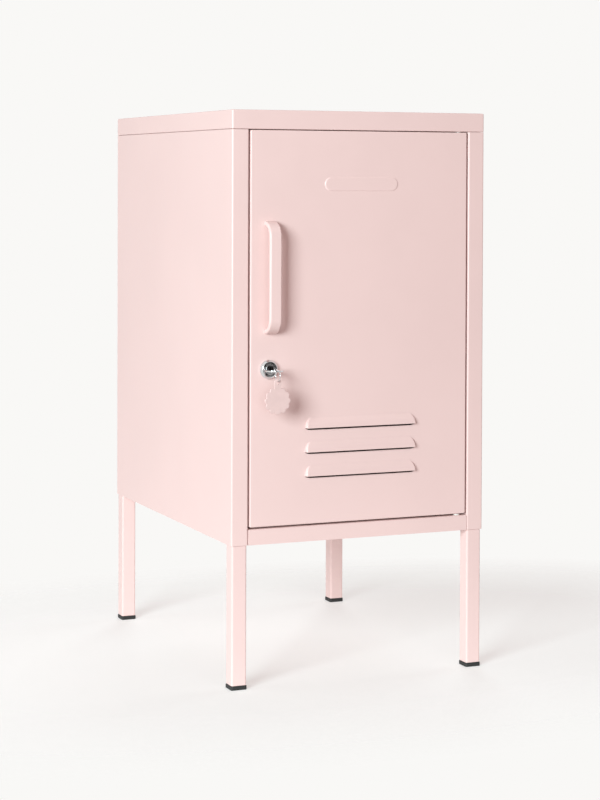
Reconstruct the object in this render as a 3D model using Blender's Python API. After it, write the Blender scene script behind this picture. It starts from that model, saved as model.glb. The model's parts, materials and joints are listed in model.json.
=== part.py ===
"""Small steel locker cabinet on four legs, with a keyed door, made as separate sheet parts.

Metres, +Z up. The origin is on the floor, at the middle of the whole object's plan.
The door faces -Y and +X is to the right of someone facing it.
"""

import math

import bmesh
import bpy
from mathutils import Matrix, Vector

MM = 0.001

# Overall body, without what stands proud of it
WIDTH = 350 * MM
DEPTH = 460 * MM
HEIGHT = 720 * MM
UNDERSIDE = 179.5 * MM

# Sheet metal and running gaps
SHEET = 1.0 * MM
GAP = 0.3 * MM
BEND = 1.6 * MM
EPS = 0.5 * MM

# Lid, stiles, rail and flanges
LID_DROP = 24 * MM
LID_RETURN = 16 * MM
STILE = 22.5 * MM
STILE_DEPTH = 15 * MM
STOP_LIP = 8 * MM
RAIL_TOP = 199 * MM
TRAY_RETURN = 13 * MM

# Legs and feet
LEG = 20 * MM
LEG_WALL = 1.5 * MM
LEG_INSET = 1.5 * MM
FOOT_HEIGHT = 5 * MM
FOOT_SPREAD = 0.7 * MM
LEG_CAP = 4 * MM

# Door
DOOR_LEFT = -150.4 * MM
DOOR_RIGHT = 150.2 * MM
DOOR_BOTTOM = 201.3 * MM
DOOR_TOP = 695 * MM
DOOR_DEPTH = 12 * MM
HINGE_X = 140 * MM
HINGE_SETBACK = 6 * MM
PIN_R = 2.5 * MM
BUSH_R = 4 * MM
BUSH_HANG_TOP = 0.6 * MM
BUSH_HANG_BOTTOM = 1.6 * MM

# Louvres and the plain raised plate mark
LOUVRE_X = 0.5 * MM
LOUVRE_BOTTOM = 261.6 * MM
LOUVRE_PITCH = 30.2 * MM
LOUVRE_COUNT = 3
LOUVRE_HALF = 76.5 * MM
LOUVRE_END = 15 * MM
LOUVRE_RISE = 5 * MM
LOUVRE_HEIGHT = 13.7 * MM
LOUVRE_SLOT = 2.6 * MM
PLATE_WIDTH = 101 * MM
PLATE_HEIGHT = 17 * MM
PLATE_Z = 628 * MM
PLATE_RISE = 0.8 * MM

# Pull handle
HANDLE_X = -124.3 * MM
HANDLE_LOW = 441.7 * MM
HANDLE_HIGH = 582 * MM
HANDLE_WIDTH = 16 * MM
HANDLE_THICK = 6 * MM
HANDLE_OUT = 21 * MM
HANDLE_BEND = 17.6 * MM

# Cylinder lock, key, ring and tag
LOCK_X = -125.8 * MM
LOCK_Z = 397.5 * MM
BEZEL_R = 12 * MM
BEZEL_OUT = 5 * MM
BARREL_R = 8 * MM
BARREL_DEPTH = 15 * MM
PLUG_R = 6 * MM
CAM_REACH = 30 * MM
CAM_HALF = 7 * MM
CAM_THICK = 1.8 * MM
KEY_THICK = 1.8 * MM
KEY_BLADE_HALF = 3 * MM
KEY_BLADE = 16.5 * MM
BOW_R = 12 * MM
BOW_CENTRE_OUT = 19 * MM
BOW_HOLE_R = 3.5 * MM
BOW_WEB = 2.4 * MM
RING_R = 7.5 * MM
RING_WIRE_R = 0.6 * MM
RING_DROP = 5.1 * MM
TAG_R = 17.2 * MM
TAG_SCALLOPS = 12
TAG_SCALLOP_DEPTH = 1.7 * MM
TAG_THICK = 3 * MM
TAG_CENTRE_DROP = 23.4 * MM
TAG_TAB_R = 4.6 * MM
TAG_HOLE_R = 2.2 * MM

# Shelf and back
SHELF_TOP = 448 * MM
SHELF_DROP = 15 * MM
SHELF_HALF = 171.5 * MM
RAIL_LEG = 20 * MM
CABLE_Z = 600 * MM
CABLE_R = 20 * MM
BACK_HEAD = 1.2 * MM

# Proud of the body: ring and tag in front, screw heads behind
PROUD_FRONT = BOW_CENTRE_OUT + BOW_R - BOW_WEB / 2 + RING_R + RING_WIRE_R
PROUD_BACK = GAP + BACK_HEAD
FRONT = -(DEPTH + PROUD_FRONT + PROUD_BACK) / 2 + PROUD_FRONT
BACK = FRONT + DEPTH
HALF = WIDTH / 2
LID_BOTTOM = HEIGHT - LID_DROP
PANEL_TOP = LID_BOTTOM - GAP
OPENING = HALF - STILE
HINGE_Y = FRONT + HINGE_SETBACK
LEG_X = HALF - LEG_INSET - LEG / 2
LEG_Y_FRONT = FRONT + LEG_INSET + LEG / 2
LEG_Y_BACK = BACK - LEG_INSET - LEG / 2
BACK_PANEL_FRONT = BACK - 2 * SHEET - GAP
WEB_Y = FRONT - BOW_CENTRE_OUT - BOW_R + BOW_WEB / 2
RING_Z = LOCK_Z - RING_DROP

PINK = (0.83, 0.62, 0.60)


# ---------------------------------------------------------------- materials and objects

def finish(name, colour, roughness, metallic):
    """A Principled material of one colour."""
    mat = bpy.data.materials.new(name)
    mat.use_nodes = True
    shader = mat.node_tree.nodes["Principled BSDF"]
    shader.inputs["Base Color"].default_value = (*colour, 1)
    shader.inputs["Roughness"].default_value = roughness
    shader.inputs["Metallic"].default_value = metallic
    mat.diffuse_color = (*colour, 1)
    return mat


def coat(name):
    """Satin pink powder coat, the same on every painted piece."""
    return finish(name, PINK, 0.45, 0.0)


def steel(name):
    return finish(name, (0.62, 0.62, 0.63), 0.3, 1.0)


def chrome(name):
    return finish(name, (0.8, 0.8, 0.82), 0.1, 1.0)


def rubber(name):
    return finish(name, (0.02, 0.02, 0.022), 0.7, 0.0)


def from_bmesh(name, bm, mat=None, smooth=False):
    """Put a closed bmesh into a named object, with its faces pointing out."""
    bmesh.ops.recalc_face_normals(bm, faces=bm.faces)
    mesh = bpy.data.meshes.new(name)
    bm.to_mesh(mesh)
    bm.free()
    if smooth:
        mesh.shade_smooth()
        mesh.set_sharp_from_angle(angle=math.radians(35))
    if mat:
        mesh.materials.append(mat)
    obj = bpy.data.objects.new(name, mesh)
    bpy.context.collection.objects.link(obj)
    return obj


def guide(obj):
    """Mark an object as a cutter or an addition that isn't a piece itself."""
    obj.hide_render = True
    obj.display_type = "WIRE"
    return obj


def boolean(obj, tool, operation):
    mod = obj.modifiers.new(tool.name, "BOOLEAN")
    mod.operation = operation
    mod.solver = "EXACT"
    mod.object = guide(tool)


def cut(obj, *tools):
    for tool in tools:
        boolean(obj, tool, "DIFFERENCE")


def add(obj, *tools):
    for tool in tools:
        boolean(obj, tool, "UNION")


def bevel(obj, width, segments=2, angle=40):
    mod = obj.modifiers.new("edge", "BEVEL")
    mod.width = width
    mod.segments = segments
    mod.limit_method = "ANGLE"
    mod.angle_limit = math.radians(angle)


def axis_empty(name, point, parent=None):
    """An empty on a joint's axis, which the moving pieces hang from."""
    obj = bpy.data.objects.new(name, None)
    obj.empty_display_size = 0.02
    bpy.context.collection.objects.link(obj)
    hang(obj, parent, point)
    return obj


def world_point(obj):
    """World position of an unturned chain of parents."""
    total = Vector((0, 0, 0))
    while obj:
        total += obj.location
        obj = obj.parent
    return total


def hang(obj, parent, point):
    """Put an object's origin at a world point, under its parent, and keep its shape in place."""
    if obj.type == "MESH":
        obj.data.transform(Matrix.Translation(-Vector(point)))
    obj.parent = parent
    obj.location = Vector(point) - world_point(parent)
    return obj


# ---------------------------------------------------------------- shapes

def box(name, low, high, mat=None):
    bm = bmesh.new()
    bmesh.ops.create_cube(bm, size=1)
    size = Vector(high) - Vector(low)
    middle = (Vector(high) + Vector(low)) / 2
    bmesh.ops.scale(bm, vec=size, verts=bm.verts)
    bmesh.ops.translate(bm, vec=middle, verts=bm.verts)
    return from_bmesh(name, bm, mat)


def spread(axis, a, b, c):
    """World point from two coordinates in the plane across an axis, and one along it."""
    return {"X": (c, a, b), "Y": (a, c, b), "Z": (a, b, c)}[axis]


def prism(name, outline, axis, low, high, mat=None, smooth=False):
    """Extrude a closed outline along an axis. The outline is (y,z), (x,z) or (x,y)."""
    bm = bmesh.new()
    verts = [bm.verts.new(spread(axis, a, b, low)) for a, b in outline]
    face = bm.faces.new(verts)
    sweep = bmesh.ops.extrude_face_region(bm, geom=[face])
    moved = [v for v in sweep["geom"] if isinstance(v, bmesh.types.BMVert)]
    bmesh.ops.translate(bm, vec=spread(axis, 0, 0, high - low), verts=moved)
    return from_bmesh(name, bm, mat, smooth)


def turned(name, profile, axis, centre, mat=None, segments=24):
    """Turn a closed (radius, height) profile about an axis through a centre point."""
    bm = bmesh.new()
    verts = [bm.verts.new(spread("Z", r, 0, h)) for r, h in profile]
    edges = [bm.edges.new((verts[i], verts[(i + 1) % len(verts)])) for i in range(len(verts))]
    bmesh.ops.spin(bm, geom=verts + edges, cent=(0, 0, 0), axis=(0, 0, 1), angle=2 * math.pi,
                   steps=segments, use_duplicate=False)
    bmesh.ops.remove_doubles(bm, verts=bm.verts, dist=1e-6)
    turn = {"X": Matrix.Rotation(math.pi / 2, 4, "Y"),
            "Y": Matrix.Rotation(-math.pi / 2, 4, "X"),
            "Z": Matrix.Identity(4)}[axis]
    bmesh.ops.transform(bm, matrix=Matrix.Translation(centre) @ turn, verts=bm.verts)
    return from_bmesh(name, bm, mat, smooth=True)


def rod(name, radius, axis, centre, low, high, mat=None, segments=16):
    """A round bar along an axis, from low to high along it, measured from the centre point."""
    profile = [(0, low), (radius, low), (radius, high), (0, high)]
    return turned(name, profile, axis, centre, mat, segments)


def arc(centre, radius, start, end, steps):
    """Points on a circle's arc, angles in degrees."""
    points = []
    for i in range(steps + 1):
        t = math.radians(start + (end - start) * i / steps)
        points.append((centre[0] + radius * math.cos(t), centre[1] + radius * math.sin(t)))
    return points


def fillet(points, radius, steps):
    """Round each inner corner of an open path with an arc."""
    out = [Vector(points[0])]
    for before, corner, after in zip(points, points[1:], points[2:]):
        corner = Vector(corner)
        back = (Vector(before) - corner).normalized()
        ahead = (Vector(after) - corner).normalized()
        half = back.angle(ahead) / 2
        reach = radius / math.tan(half)
        middle = corner + (back + ahead).normalized() * radius / math.sin(half)
        start = corner + back * reach - middle
        turn = start.angle_signed(corner + ahead * reach - middle)
        for i in range(steps + 1):
            spoke = start.copy()
            spoke.rotate(Matrix.Rotation(-turn * i / steps, 2))
            out.append(middle + spoke)
    out.append(Vector(points[-1]))
    return out


def sheet_outline(path, thickness):
    """Give an open path a wall: both sides, offset by half the thickness along the mitres."""
    left = []
    right = []
    for i, point in enumerate(path):
        ahead = (path[min(i + 1, len(path) - 1)] - point)
        behind = (point - path[max(i - 1, 0)])
        a = (ahead if ahead.length > 0 else behind).normalized()
        b = (behind if behind.length > 0 else ahead).normalized()
        normal = Vector((-(a + b).y, (a + b).x)).normalized()
        mitre = thickness / 2 / max(0.2, normal.dot(Vector((-a.y, a.x))))
        left.append(point + normal * mitre)
        right.append(point - normal * mitre)
    return left + right[::-1]


def folded(name, corners, axis, low, high, mat=None, thickness=SHEET, radius=BEND, steps=3):
    """A folded sheet: a path of fold lines with round bends, extruded along an axis."""
    path = fillet(corners, radius, steps)
    return prism(name, sheet_outline(path, thickness), axis, low, high, mat, smooth=True)


def screw(name, head_r, head, shank_r, shank, axis, point, up, mat):
    """A domed screw. Its head's underside is at the point, and up is +1 or -1 along the axis."""
    profile = [(0, -shank), (shank_r, -shank), (shank_r, 0), (head_r, 0),
               (head_r, head * 0.45), (head_r * 0.75, head * 0.85), (0, head)]
    profile = [(r, h * up) for r, h in profile]
    return turned(name, profile, axis, point, mat, segments=12)


# ---------------------------------------------------------------- cabinet body

def make_top_panel():
    """Lid: a shallow tray turned over, with a return folded in under its lip."""
    lid = box("top_panel", (-HALF, FRONT, LID_BOTTOM), (HALF, BACK, HEIGHT), coat("lid_coat"))
    bevel(lid, 1.6 * MM, 3)
    inner = box("lid_hollow", (-HALF + SHEET, FRONT + SHEET, LID_BOTTOM + SHEET),
                (HALF - SHEET, BACK - SHEET, HEIGHT - SHEET))
    window = box("lid_window", (-HALF + LID_RETURN, FRONT + LID_RETURN, LID_BOTTOM - SHEET),
                 (HALF - LID_RETURN, BACK - LID_RETURN, LID_BOTTOM + 2 * SHEET))
    cut(lid, inner, window)
    cut(lid, rod("lid_bush_hole", BUSH_R + GAP, "Z", (HINGE_X, HINGE_Y, LID_BOTTOM), -EPS, 2 * SHEET))
    for side, y, tag in lid_screw_places():
        hole = rod("lid_hole_" + tag, 2.3 * MM, "Z", (side * LEG_X, y, LID_BOTTOM), -EPS, 2 * SHEET, None, 12)
        cut(lid, hole)


def lid_screw_places():
    """Side sign, y and name of each vertical screw between the side flanges and lid or floor."""
    inset = 60 * MM
    return [(-1, FRONT + inset, "front_left"), (1, FRONT + inset, "front_right"),
            (-1, BACK - inset, "back_left"), (1, BACK - inset, "back_right")]


def back_screw_places():
    rows = (("low", 250 * MM), ("mid", 440 * MM), ("top", 630 * MM))
    return [(side, z, f"{row}_{name}") for side, name in ((-1, "left"), (1, "right")) for row, z in rows]


def make_side_panel(side, name):
    """One side: rear flange, skin, front stile and its return, with flanges top and bottom."""
    half = SHEET / 2
    corners = [(side * OPENING, BACK - half), (side * (HALF - half), BACK - half),
               (side * (HALF - half), FRONT + half), (side * (OPENING + half), FRONT + half),
               (side * (OPENING + half), FRONT + STILE_DEPTH)]
    panel = folded(f"side_panel_{name}", corners, "Z", UNDERSIDE, PANEL_TOP, coat(f"side_{name}_coat"))
    x0, x1 = sorted((side * (HALF - half), side * (OPENING + half)))
    step = 0.1 * MM
    for tag, z in (("top", PANEL_TOP - SHEET - step), ("foot", UNDERSIDE + step)):
        add(panel, box(f"{tag}_flange_{name}", (x0, FRONT + half, z),
                       (x1, BACK_PANEL_FRONT - GAP, z + SHEET)))
    if side < 0:
        lip = box("stop_lip", (-OPENING - half, FRONT + STILE_DEPTH - SHEET, RAIL_TOP + GAP * 2),
                  (-OPENING + STOP_LIP, FRONT + STILE_DEPTH - step, PANEL_TOP - 2 * SHEET))
        add(panel, lip)
    for sign, y, tag in lid_screw_places():
        if sign == side:
            spot = (side * LEG_X, y, 0)
            cut(panel, rod("side_top_hole_" + tag, 2.3 * MM, "Z", spot, PANEL_TOP - 3 * SHEET, HEIGHT, None, 12))
            cut(panel, rod("side_foot_hole_" + tag, 2.3 * MM, "Z", spot, 0.17, UNDERSIDE + 3 * SHEET, None, 12))
    for y, tag in ((LEG_Y_FRONT, "front"), (LEG_Y_BACK, "back")):
        cut(panel, rod(f"leg_bolt_hole_{tag}_{name}", 3.3 * MM, "Z", (side * LEG_X, y, 0), 0.17,
                       UNDERSIDE + 3 * SHEET))
    for sign, z, tag in back_screw_places():
        if sign == side:
            cut(panel, rod("rear_hole_" + tag, 2.3 * MM, "Y", (side * LEG_X, BACK, z), -3 * SHEET, SHEET, None, 12))


def make_back_panel():
    """Flat sheet behind the rear flanges, clear of their bends, with the cable hole."""
    edge = HALF - SHEET - BEND
    low = UNDERSIDE + GAP
    panel = box("back_panel", (-edge, BACK_PANEL_FRONT, low),
                (edge, BACK_PANEL_FRONT + SHEET, PANEL_TOP - 0.1 * MM), coat("back_coat"))
    cut(panel, rod("cable_hole", CABLE_R, "Y", (0, BACK_PANEL_FRONT, CABLE_Z), -SHEET, 3 * SHEET, None, 32))
    for side, z, tag in back_screw_places():
        cut(panel, rod("panel_hole_" + tag, 2.3 * MM, "Y", (side * LEG_X, BACK, z), -4 * SHEET, 0, None, 12))


def make_cable_grommet():
    """Rubber ring with a groove that holds the hole's edge."""
    bore = CABLE_R - 3 * MM
    neck = CABLE_R - GAP
    rim = CABLE_R + 3 * MM
    face = 1.2 * MM
    profile = [(bore, -face - GAP), (rim - face, -face - GAP), (rim, -GAP), (neck, -GAP),
               (neck, SHEET + GAP), (rim, SHEET + GAP), (rim - face, SHEET + GAP + face),
               (bore, SHEET + GAP + face)]
    turned("cable_grommet", profile, "Y", (0, BACK_PANEL_FRONT, CABLE_Z), rubber("grommet_rubber"), 32)


def tray_outline(inset):
    """Plan of the floor tray: narrow between the stiles, wide behind them."""
    narrow = OPENING - GAP - inset
    wide = HALF - SHEET - 0.4 * MM - inset
    front = FRONT + inset
    neck = FRONT + STILE_DEPTH + 2.2 * MM + inset
    rear = BACK_PANEL_FRONT - GAP - inset
    return [(-narrow, front), (narrow, front), (narrow, neck), (wide, neck),
            (wide, rear), (-wide, rear), (-wide, neck), (-narrow, neck)]


def make_floor_panel():
    """Floor: a tray turned over, with the front rail as its deep front side."""
    rest = UNDERSIDE + SHEET + GAP
    floor = prism("floor_panel", tray_outline(0), "Z", rest, RAIL_TOP, coat("floor_coat"))
    rail = box("rail_face", (-OPENING + GAP, FRONT, UNDERSIDE), (OPENING - GAP, FRONT + SHEET, rest + SHEET))
    add(floor, rail)
    hollow = prism("tray_hollow", tray_outline(SHEET), "Z", rest + SHEET, RAIL_TOP - SHEET)
    edge = HALF - SHEET - TRAY_RETURN
    window = box("tray_window", (-edge, FRONT + SHEET, rest - SHEET),
                 (edge, BACK_PANEL_FRONT - TRAY_RETURN, rest + 2 * SHEET))
    cut(floor, hollow, window)
    cut(floor, rod("floor_bush_hole", BUSH_R + GAP, "Z", (HINGE_X, HINGE_Y, RAIL_TOP), -2 * SHEET, EPS))
    for side, y, tag in lid_screw_places():
        cut(floor, rod("floor_hole_" + tag, 2.3 * MM, "Z", (side * LEG_X, y, rest), -EPS, 2 * SHEET, None, 12))
    for side, tag in ((-1, "left"), (1, "right")):
        cut(floor, rod("floor_leg_hole_" + tag, 3.3 * MM, "Z", (side * LEG_X, LEG_Y_BACK, rest), -EPS, 2 * SHEET))


def make_legs():
    """Four square tubes with a welded end plate, each with its bolt and its plastic foot."""
    for side, lr in ((-1, "left"), (1, "right")):
        for y, fb in ((LEG_Y_FRONT, "front"), (LEG_Y_BACK, "back")):
            make_leg(f"{fb}_{lr}", side * LEG_X, y, fb == "back")


def square(x, y, half, z0, z1):
    return (x - half, y - half, z0), (x + half, y + half, z1)


def make_leg(tag, x, y, through_tray):
    top = UNDERSIDE - GAP
    low = FOOT_HEIGHT + GAP
    leg = box(f"leg_{tag}", *square(x, y, LEG / 2, low, top), coat(f"leg_{tag}_coat"))
    hang(leg, None, (x, y, 0))
    bevel(leg, 1.8 * MM, 3)
    inner = LEG / 2 - LEG_WALL
    cut(leg, box(f"leg_bore_{tag}", *square(x, y, inner, 0, top - LEG_CAP)))
    cut(leg, rod(f"leg_thread_{tag}", 3.3 * MM, "Z", (x, y, top), -2 * LEG_CAP, EPS))

    foot = box(f"foot_cap_{tag}", *square(x, y, LEG / 2 + FOOT_SPREAD, 0, FOOT_HEIGHT), rubber(f"foot_{tag}"))
    bevel(foot, 1.2 * MM, 2)
    add(foot, box(f"foot_plug_{tag}", *square(x, y, inner - GAP, FOOT_HEIGHT - SHEET, 17 * MM)))

    seat = UNDERSIDE + SHEET + GAP + 0.1 * MM
    if through_tray:
        seat += SHEET + GAP
    screw(f"leg_bolt_{tag}", 4.9 * MM, 3.2 * MM, 3 * MM, seat - top + 10 * MM, "Z", (x, y, seat), 1,
          steel(f"bolt_{tag}"))


def make_body_screws():
    """Screws that hold the lid and the floor to the side flanges, and the back to the rear ones."""
    for side, y, tag in lid_screw_places():
        under_top = PANEL_TOP - SHEET - 0.1 * MM - GAP
        screw("top_screw_" + tag, 3.5 * MM, 2.2 * MM, 2 * MM, 6 * MM, "Z", (side * LEG_X, y, under_top), -1,
              steel("top_screw_steel_" + tag))
        screw("floor_screw_" + tag, 3.5 * MM, 2.2 * MM, 2 * MM, 6 * MM, "Z",
              (side * LEG_X, y, UNDERSIDE - GAP), -1, steel("floor_screw_steel_" + tag))
    for side, z, tag in back_screw_places():
        screw("back_screw_" + tag, 3.5 * MM, BACK_HEAD, 2 * MM, 6 * MM, "Y", (side * LEG_X, BACK + GAP, z), 1,
              coat("back_screw_coat_" + tag))


# ---------------------------------------------------------------- shelf

def make_shelf():
    """Lift-out shelf with its edges folded down, on two angle rails."""
    front = FRONT + 22 * MM
    rear = BACK_PANEL_FRONT - 4.5 * MM
    axis = axis_empty("shelf_lift_axis", (0, (front + rear) / 2, SHELF_TOP))
    shelf = box("shelf", (-SHELF_HALF, front, SHELF_TOP - SHELF_DROP), (SHELF_HALF, rear, SHELF_TOP),
                coat("shelf_coat"))
    bevel(shelf, 1.2 * MM, 2)
    cut(shelf, box("shelf_hollow", (-SHELF_HALF + SHEET, front + SHEET, SHELF_TOP - 2 * SHELF_DROP),
                   (SHELF_HALF - SHEET, rear - SHEET, SHELF_TOP - SHEET)))
    hang(shelf, axis, (0, (front + rear) / 2, SHELF_TOP))
    half = SHEET / 2
    z = SHELF_TOP - SHELF_DROP - GAP - half
    for side, name in ((-1, "left"), (1, "right")):
        x = HALF - SHEET - GAP - half
        corners = [(side * x, z - RAIL_LEG), (side * x, z), (side * (x - 16 * MM), z)]
        folded(f"shelf_rail_{name}", corners, "Y", FRONT + 40 * MM, BACK - 20 * MM, coat(f"rail_{name}_coat"))


# ---------------------------------------------------------------- door

def louvre_lump(name, bottom, rise, height, half_length, below, back):
    """Solid under a louvre hood: a quarter ellipse across, shrinking along rounded ends.

    The section at a station scales by e, which is 1 in the straight run and falls as the
    cosine of the end's angle. Its lip is rise * e out, and its root is height * e up.
    """
    angles = [80, 64, 45, 22, 0]
    stations = [(-1, a) for a in angles] + [(1, a) for a in reversed(angles)]
    steps = 5
    bm = bmesh.new()
    rings = []
    for sign, a in stations:
        e = math.cos(math.radians(a))
        x = LOUVRE_X + sign * (half_length - LOUVRE_END * (1 - math.sin(math.radians(a))))
        section = [(-rise * e, -below)] if below else []
        section += [(-rise * e * math.cos(t), height * e * math.sin(t))
                    for t in (math.pi / 2 * i / steps for i in range(steps + 1))]
        section += [(back, height * e), (back, -below)]
        rings.append([bm.verts.new((x, FRONT + y, bottom + z)) for y, z in section])
    for a, b in zip(rings, rings[1:]):
        for i in range(len(a)):
            j = (i + 1) % len(a)
            bm.faces.new((a[i], a[j], b[j], b[i]))
    bm.faces.new(rings[0])
    bm.faces.new(rings[-1][::-1])
    return from_bmesh(name, bm)


def stadium(x, z, width, height, steps=8):
    """Outline of a bar with round ends."""
    r = height / 2
    reach = width / 2 - r
    return arc((x + reach, z), r, -90, 90, steps) + arc((x - reach, z), r, 90, 270, steps)


def make_door_skin(axis):
    """Door: a tray with its open side in, with three louvres and a plain raised plate."""
    skin = box("door_skin", (DOOR_LEFT, FRONT, DOOR_BOTTOM), (DOOR_RIGHT, FRONT + DOOR_DEPTH, DOOR_TOP),
               coat("door_coat"))
    bevel(skin, 1.0 * MM, 2)
    cut(skin, box("door_hollow", (DOOR_LEFT + SHEET, FRONT + SHEET, DOOR_BOTTOM + SHEET),
                  (DOOR_RIGHT - SHEET, FRONT + 2 * DOOR_DEPTH, DOOR_TOP - SHEET)))
    for i in range(LOUVRE_COUNT):
        bottom = LOUVRE_BOTTOM + i * LOUVRE_PITCH
        add(skin, louvre_lump(f"hood_{i}", bottom, LOUVRE_RISE, LOUVRE_HEIGHT, LOUVRE_HALF, 0, EPS))
    for i in range(LOUVRE_COUNT):
        bottom = LOUVRE_BOTTOM + i * LOUVRE_PITCH
        cut(skin, louvre_lump(f"hood_hollow_{i}", bottom, LOUVRE_RISE - SHEET, LOUVRE_HEIGHT - SHEET,
                              LOUVRE_HALF - SHEET, LOUVRE_SLOT, 2 * SHEET))
    plate = prism("plate", stadium(0.5 * MM, PLATE_Z, PLATE_WIDTH, PLATE_HEIGHT), "Y",
                  FRONT - PLATE_RISE, FRONT + EPS)
    add(skin, plate)
    cut(skin, rod("lock_hole", BARREL_R + GAP, "Y", (LOCK_X, FRONT, LOCK_Z), -EPS, 2 * SHEET, None, 24))
    for i, z in enumerate(handle_feet()):
        cut(skin, rod(f"handle_hole_{i}", 2 * MM, "Y", (HANDLE_X, FRONT, z), -EPS, 2 * SHEET, None, 12))
    cut(skin, rod("pin_hole_top", PIN_R + GAP, "Z", (HINGE_X, HINGE_Y, DOOR_TOP), -2 * SHEET, EPS))
    cut(skin, rod("pin_hole_bottom", PIN_R + GAP, "Z", (HINGE_X, HINGE_Y, DOOR_BOTTOM), -EPS, 2 * SHEET))
    hang(skin, axis, (HINGE_X, HINGE_Y, DOOR_BOTTOM))


def handle_feet():
    return (HANDLE_LOW + HANDLE_THICK / 2, HANDLE_HIGH - HANDLE_THICK / 2)


def make_handle(axis):
    """Flat bar bent into a D, with its two feet square on the door and a screw in each."""
    low, high = handle_feet()
    out = FRONT - HANDLE_OUT + HANDLE_THICK / 2
    foot = FRONT - GAP
    path = fillet([(foot, low), (out, low), (out, high), (foot, high)], HANDLE_BEND, 6)
    bar = prism("handle", sheet_outline(path, HANDLE_THICK), "X", HANDLE_X - HANDLE_WIDTH / 2,
                HANDLE_X + HANDLE_WIDTH / 2, coat("handle_coat"), smooth=True)
    bevel(bar, 1.2 * MM, 2, 60)
    for i, z in enumerate((low, high)):
        cut(bar, rod(f"handle_thread_{i}", 2 * MM, "Y", (HANDLE_X, FRONT, z), -9 * MM, EPS, None, 12))
    hang(bar, axis, (HANDLE_X, FRONT, (low + high) / 2))
    for z, tag in ((low, "low"), (high, "high")):
        point = (HANDLE_X, FRONT + SHEET + GAP, z)
        one = screw("handle_screw_" + tag, 4 * MM, 2.4 * MM, 1.7 * MM, 9 * MM, "Y", point, 1,
                    steel("handle_screw_steel_" + tag))
        hang(one, axis, point)


def make_stiffener(axis):
    """Hat-shaped channel, full height behind the lock side of the door."""
    skin = FRONT + SHEET + GAP + SHEET / 2
    crown = FRONT + DOOR_DEPTH - SHEET
    left, right, web = -108 * MM, -78 * MM, 8 * MM
    corners = [(left, skin), (left + web, skin), (left + web, crown), (right - web, crown),
               (right - web, skin), (right, skin)]
    bar = folded("door_stiffener", corners, "Z", DOOR_BOTTOM + 5 * MM, DOOR_TOP - 5 * MM,
                 coat("stiffener_coat"), radius=1 * MM)
    hang(bar, axis, (left, skin, DOOR_BOTTOM))


def make_hinges(axis):
    """Upper and lower pins on the door, and the plastic bushes that they turn in."""
    head = 2.5 * MM
    inside_top = DOOR_TOP - SHEET - GAP
    inside_bottom = DOOR_BOTTOM + SHEET + GAP
    reach = 7 * MM
    for tag, z, up in (("top", inside_top, 1), ("bottom", inside_bottom, -1)):
        profile = [(0, -head), (4.3 * MM, -head), (4.3 * MM, 0), (PIN_R, 0), (PIN_R, reach), (0, reach)]
        point = (HINGE_X, HINGE_Y, z)
        pin = turned("hinge_pin_" + tag, [(r, h * up) for r, h in profile], "Z", point,
                     steel("pin_steel_" + tag), 20)
        hang(pin, axis, point)
    bore = PIN_R + 0.25 * MM
    collar = HINGE_SETBACK - SHEET - 2 * GAP
    for tag, z, up, below in (("top", LID_BOTTOM, 1, BUSH_HANG_TOP), ("bottom", RAIL_TOP, -1, BUSH_HANG_BOTTOM)):
        over = SHEET + GAP
        profile = [(bore, -below), (BUSH_R, -below), (BUSH_R, over), (collar, over),
                   (collar, over + 1.2 * MM), (bore, over + 1.2 * MM)]
        turned("hinge_bush_" + tag, [(r, h * up) for r, h in profile], "Z", (HINGE_X, HINGE_Y, z),
               finish("bush_nylon_" + tag, (0.85, 0.84, 0.8), 0.5, 0.0), 20)


def make_bumpers():
    """Two rubber pads on the stop lip, where the shut door's edge lands."""
    for z, tag in ((240 * MM, "bottom"), (655 * MM, "top")):
        rod("door_bumper_" + tag, 3.2 * MM, "Y", (-OPENING + 4.3 * MM, FRONT, z), DOOR_DEPTH + GAP,
            STILE_DEPTH - SHEET - GAP, rubber("bumper_" + tag), 16)


# ---------------------------------------------------------------- lock, key and tag

def make_lock_body(axis):
    """Threaded barrel through the door, with a bright domed bezel, and its nut behind."""
    bore = PLUG_R + GAP
    profile = [(bore, -BEZEL_OUT), (BEZEL_R - 2.4 * MM, -BEZEL_OUT), (BEZEL_R - 0.9 * MM, -BEZEL_OUT * 0.72),
               (BEZEL_R, -BEZEL_OUT * 0.36), (BEZEL_R, -GAP), (BARREL_R, -GAP), (BARREL_R, BARREL_DEPTH),
               (bore, BARREL_DEPTH)]
    centre = (LOCK_X, FRONT, LOCK_Z)
    hang(turned("lock_body", profile, "Y", centre, chrome("lock_chrome"), 32), axis, centre)
    start = FRONT + SHEET + GAP
    hexagon = arc((LOCK_X, LOCK_Z), 11.2 * MM, 0, 300, 5)
    nut = prism("lock_nut", hexagon, "Y", start, start + 4 * MM, steel("nut_steel"))
    cut(nut, rod("nut_bore", BARREL_R + GAP, "Y", centre, 0, 8 * MM, None, 24))
    hang(nut, axis, centre)


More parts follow.
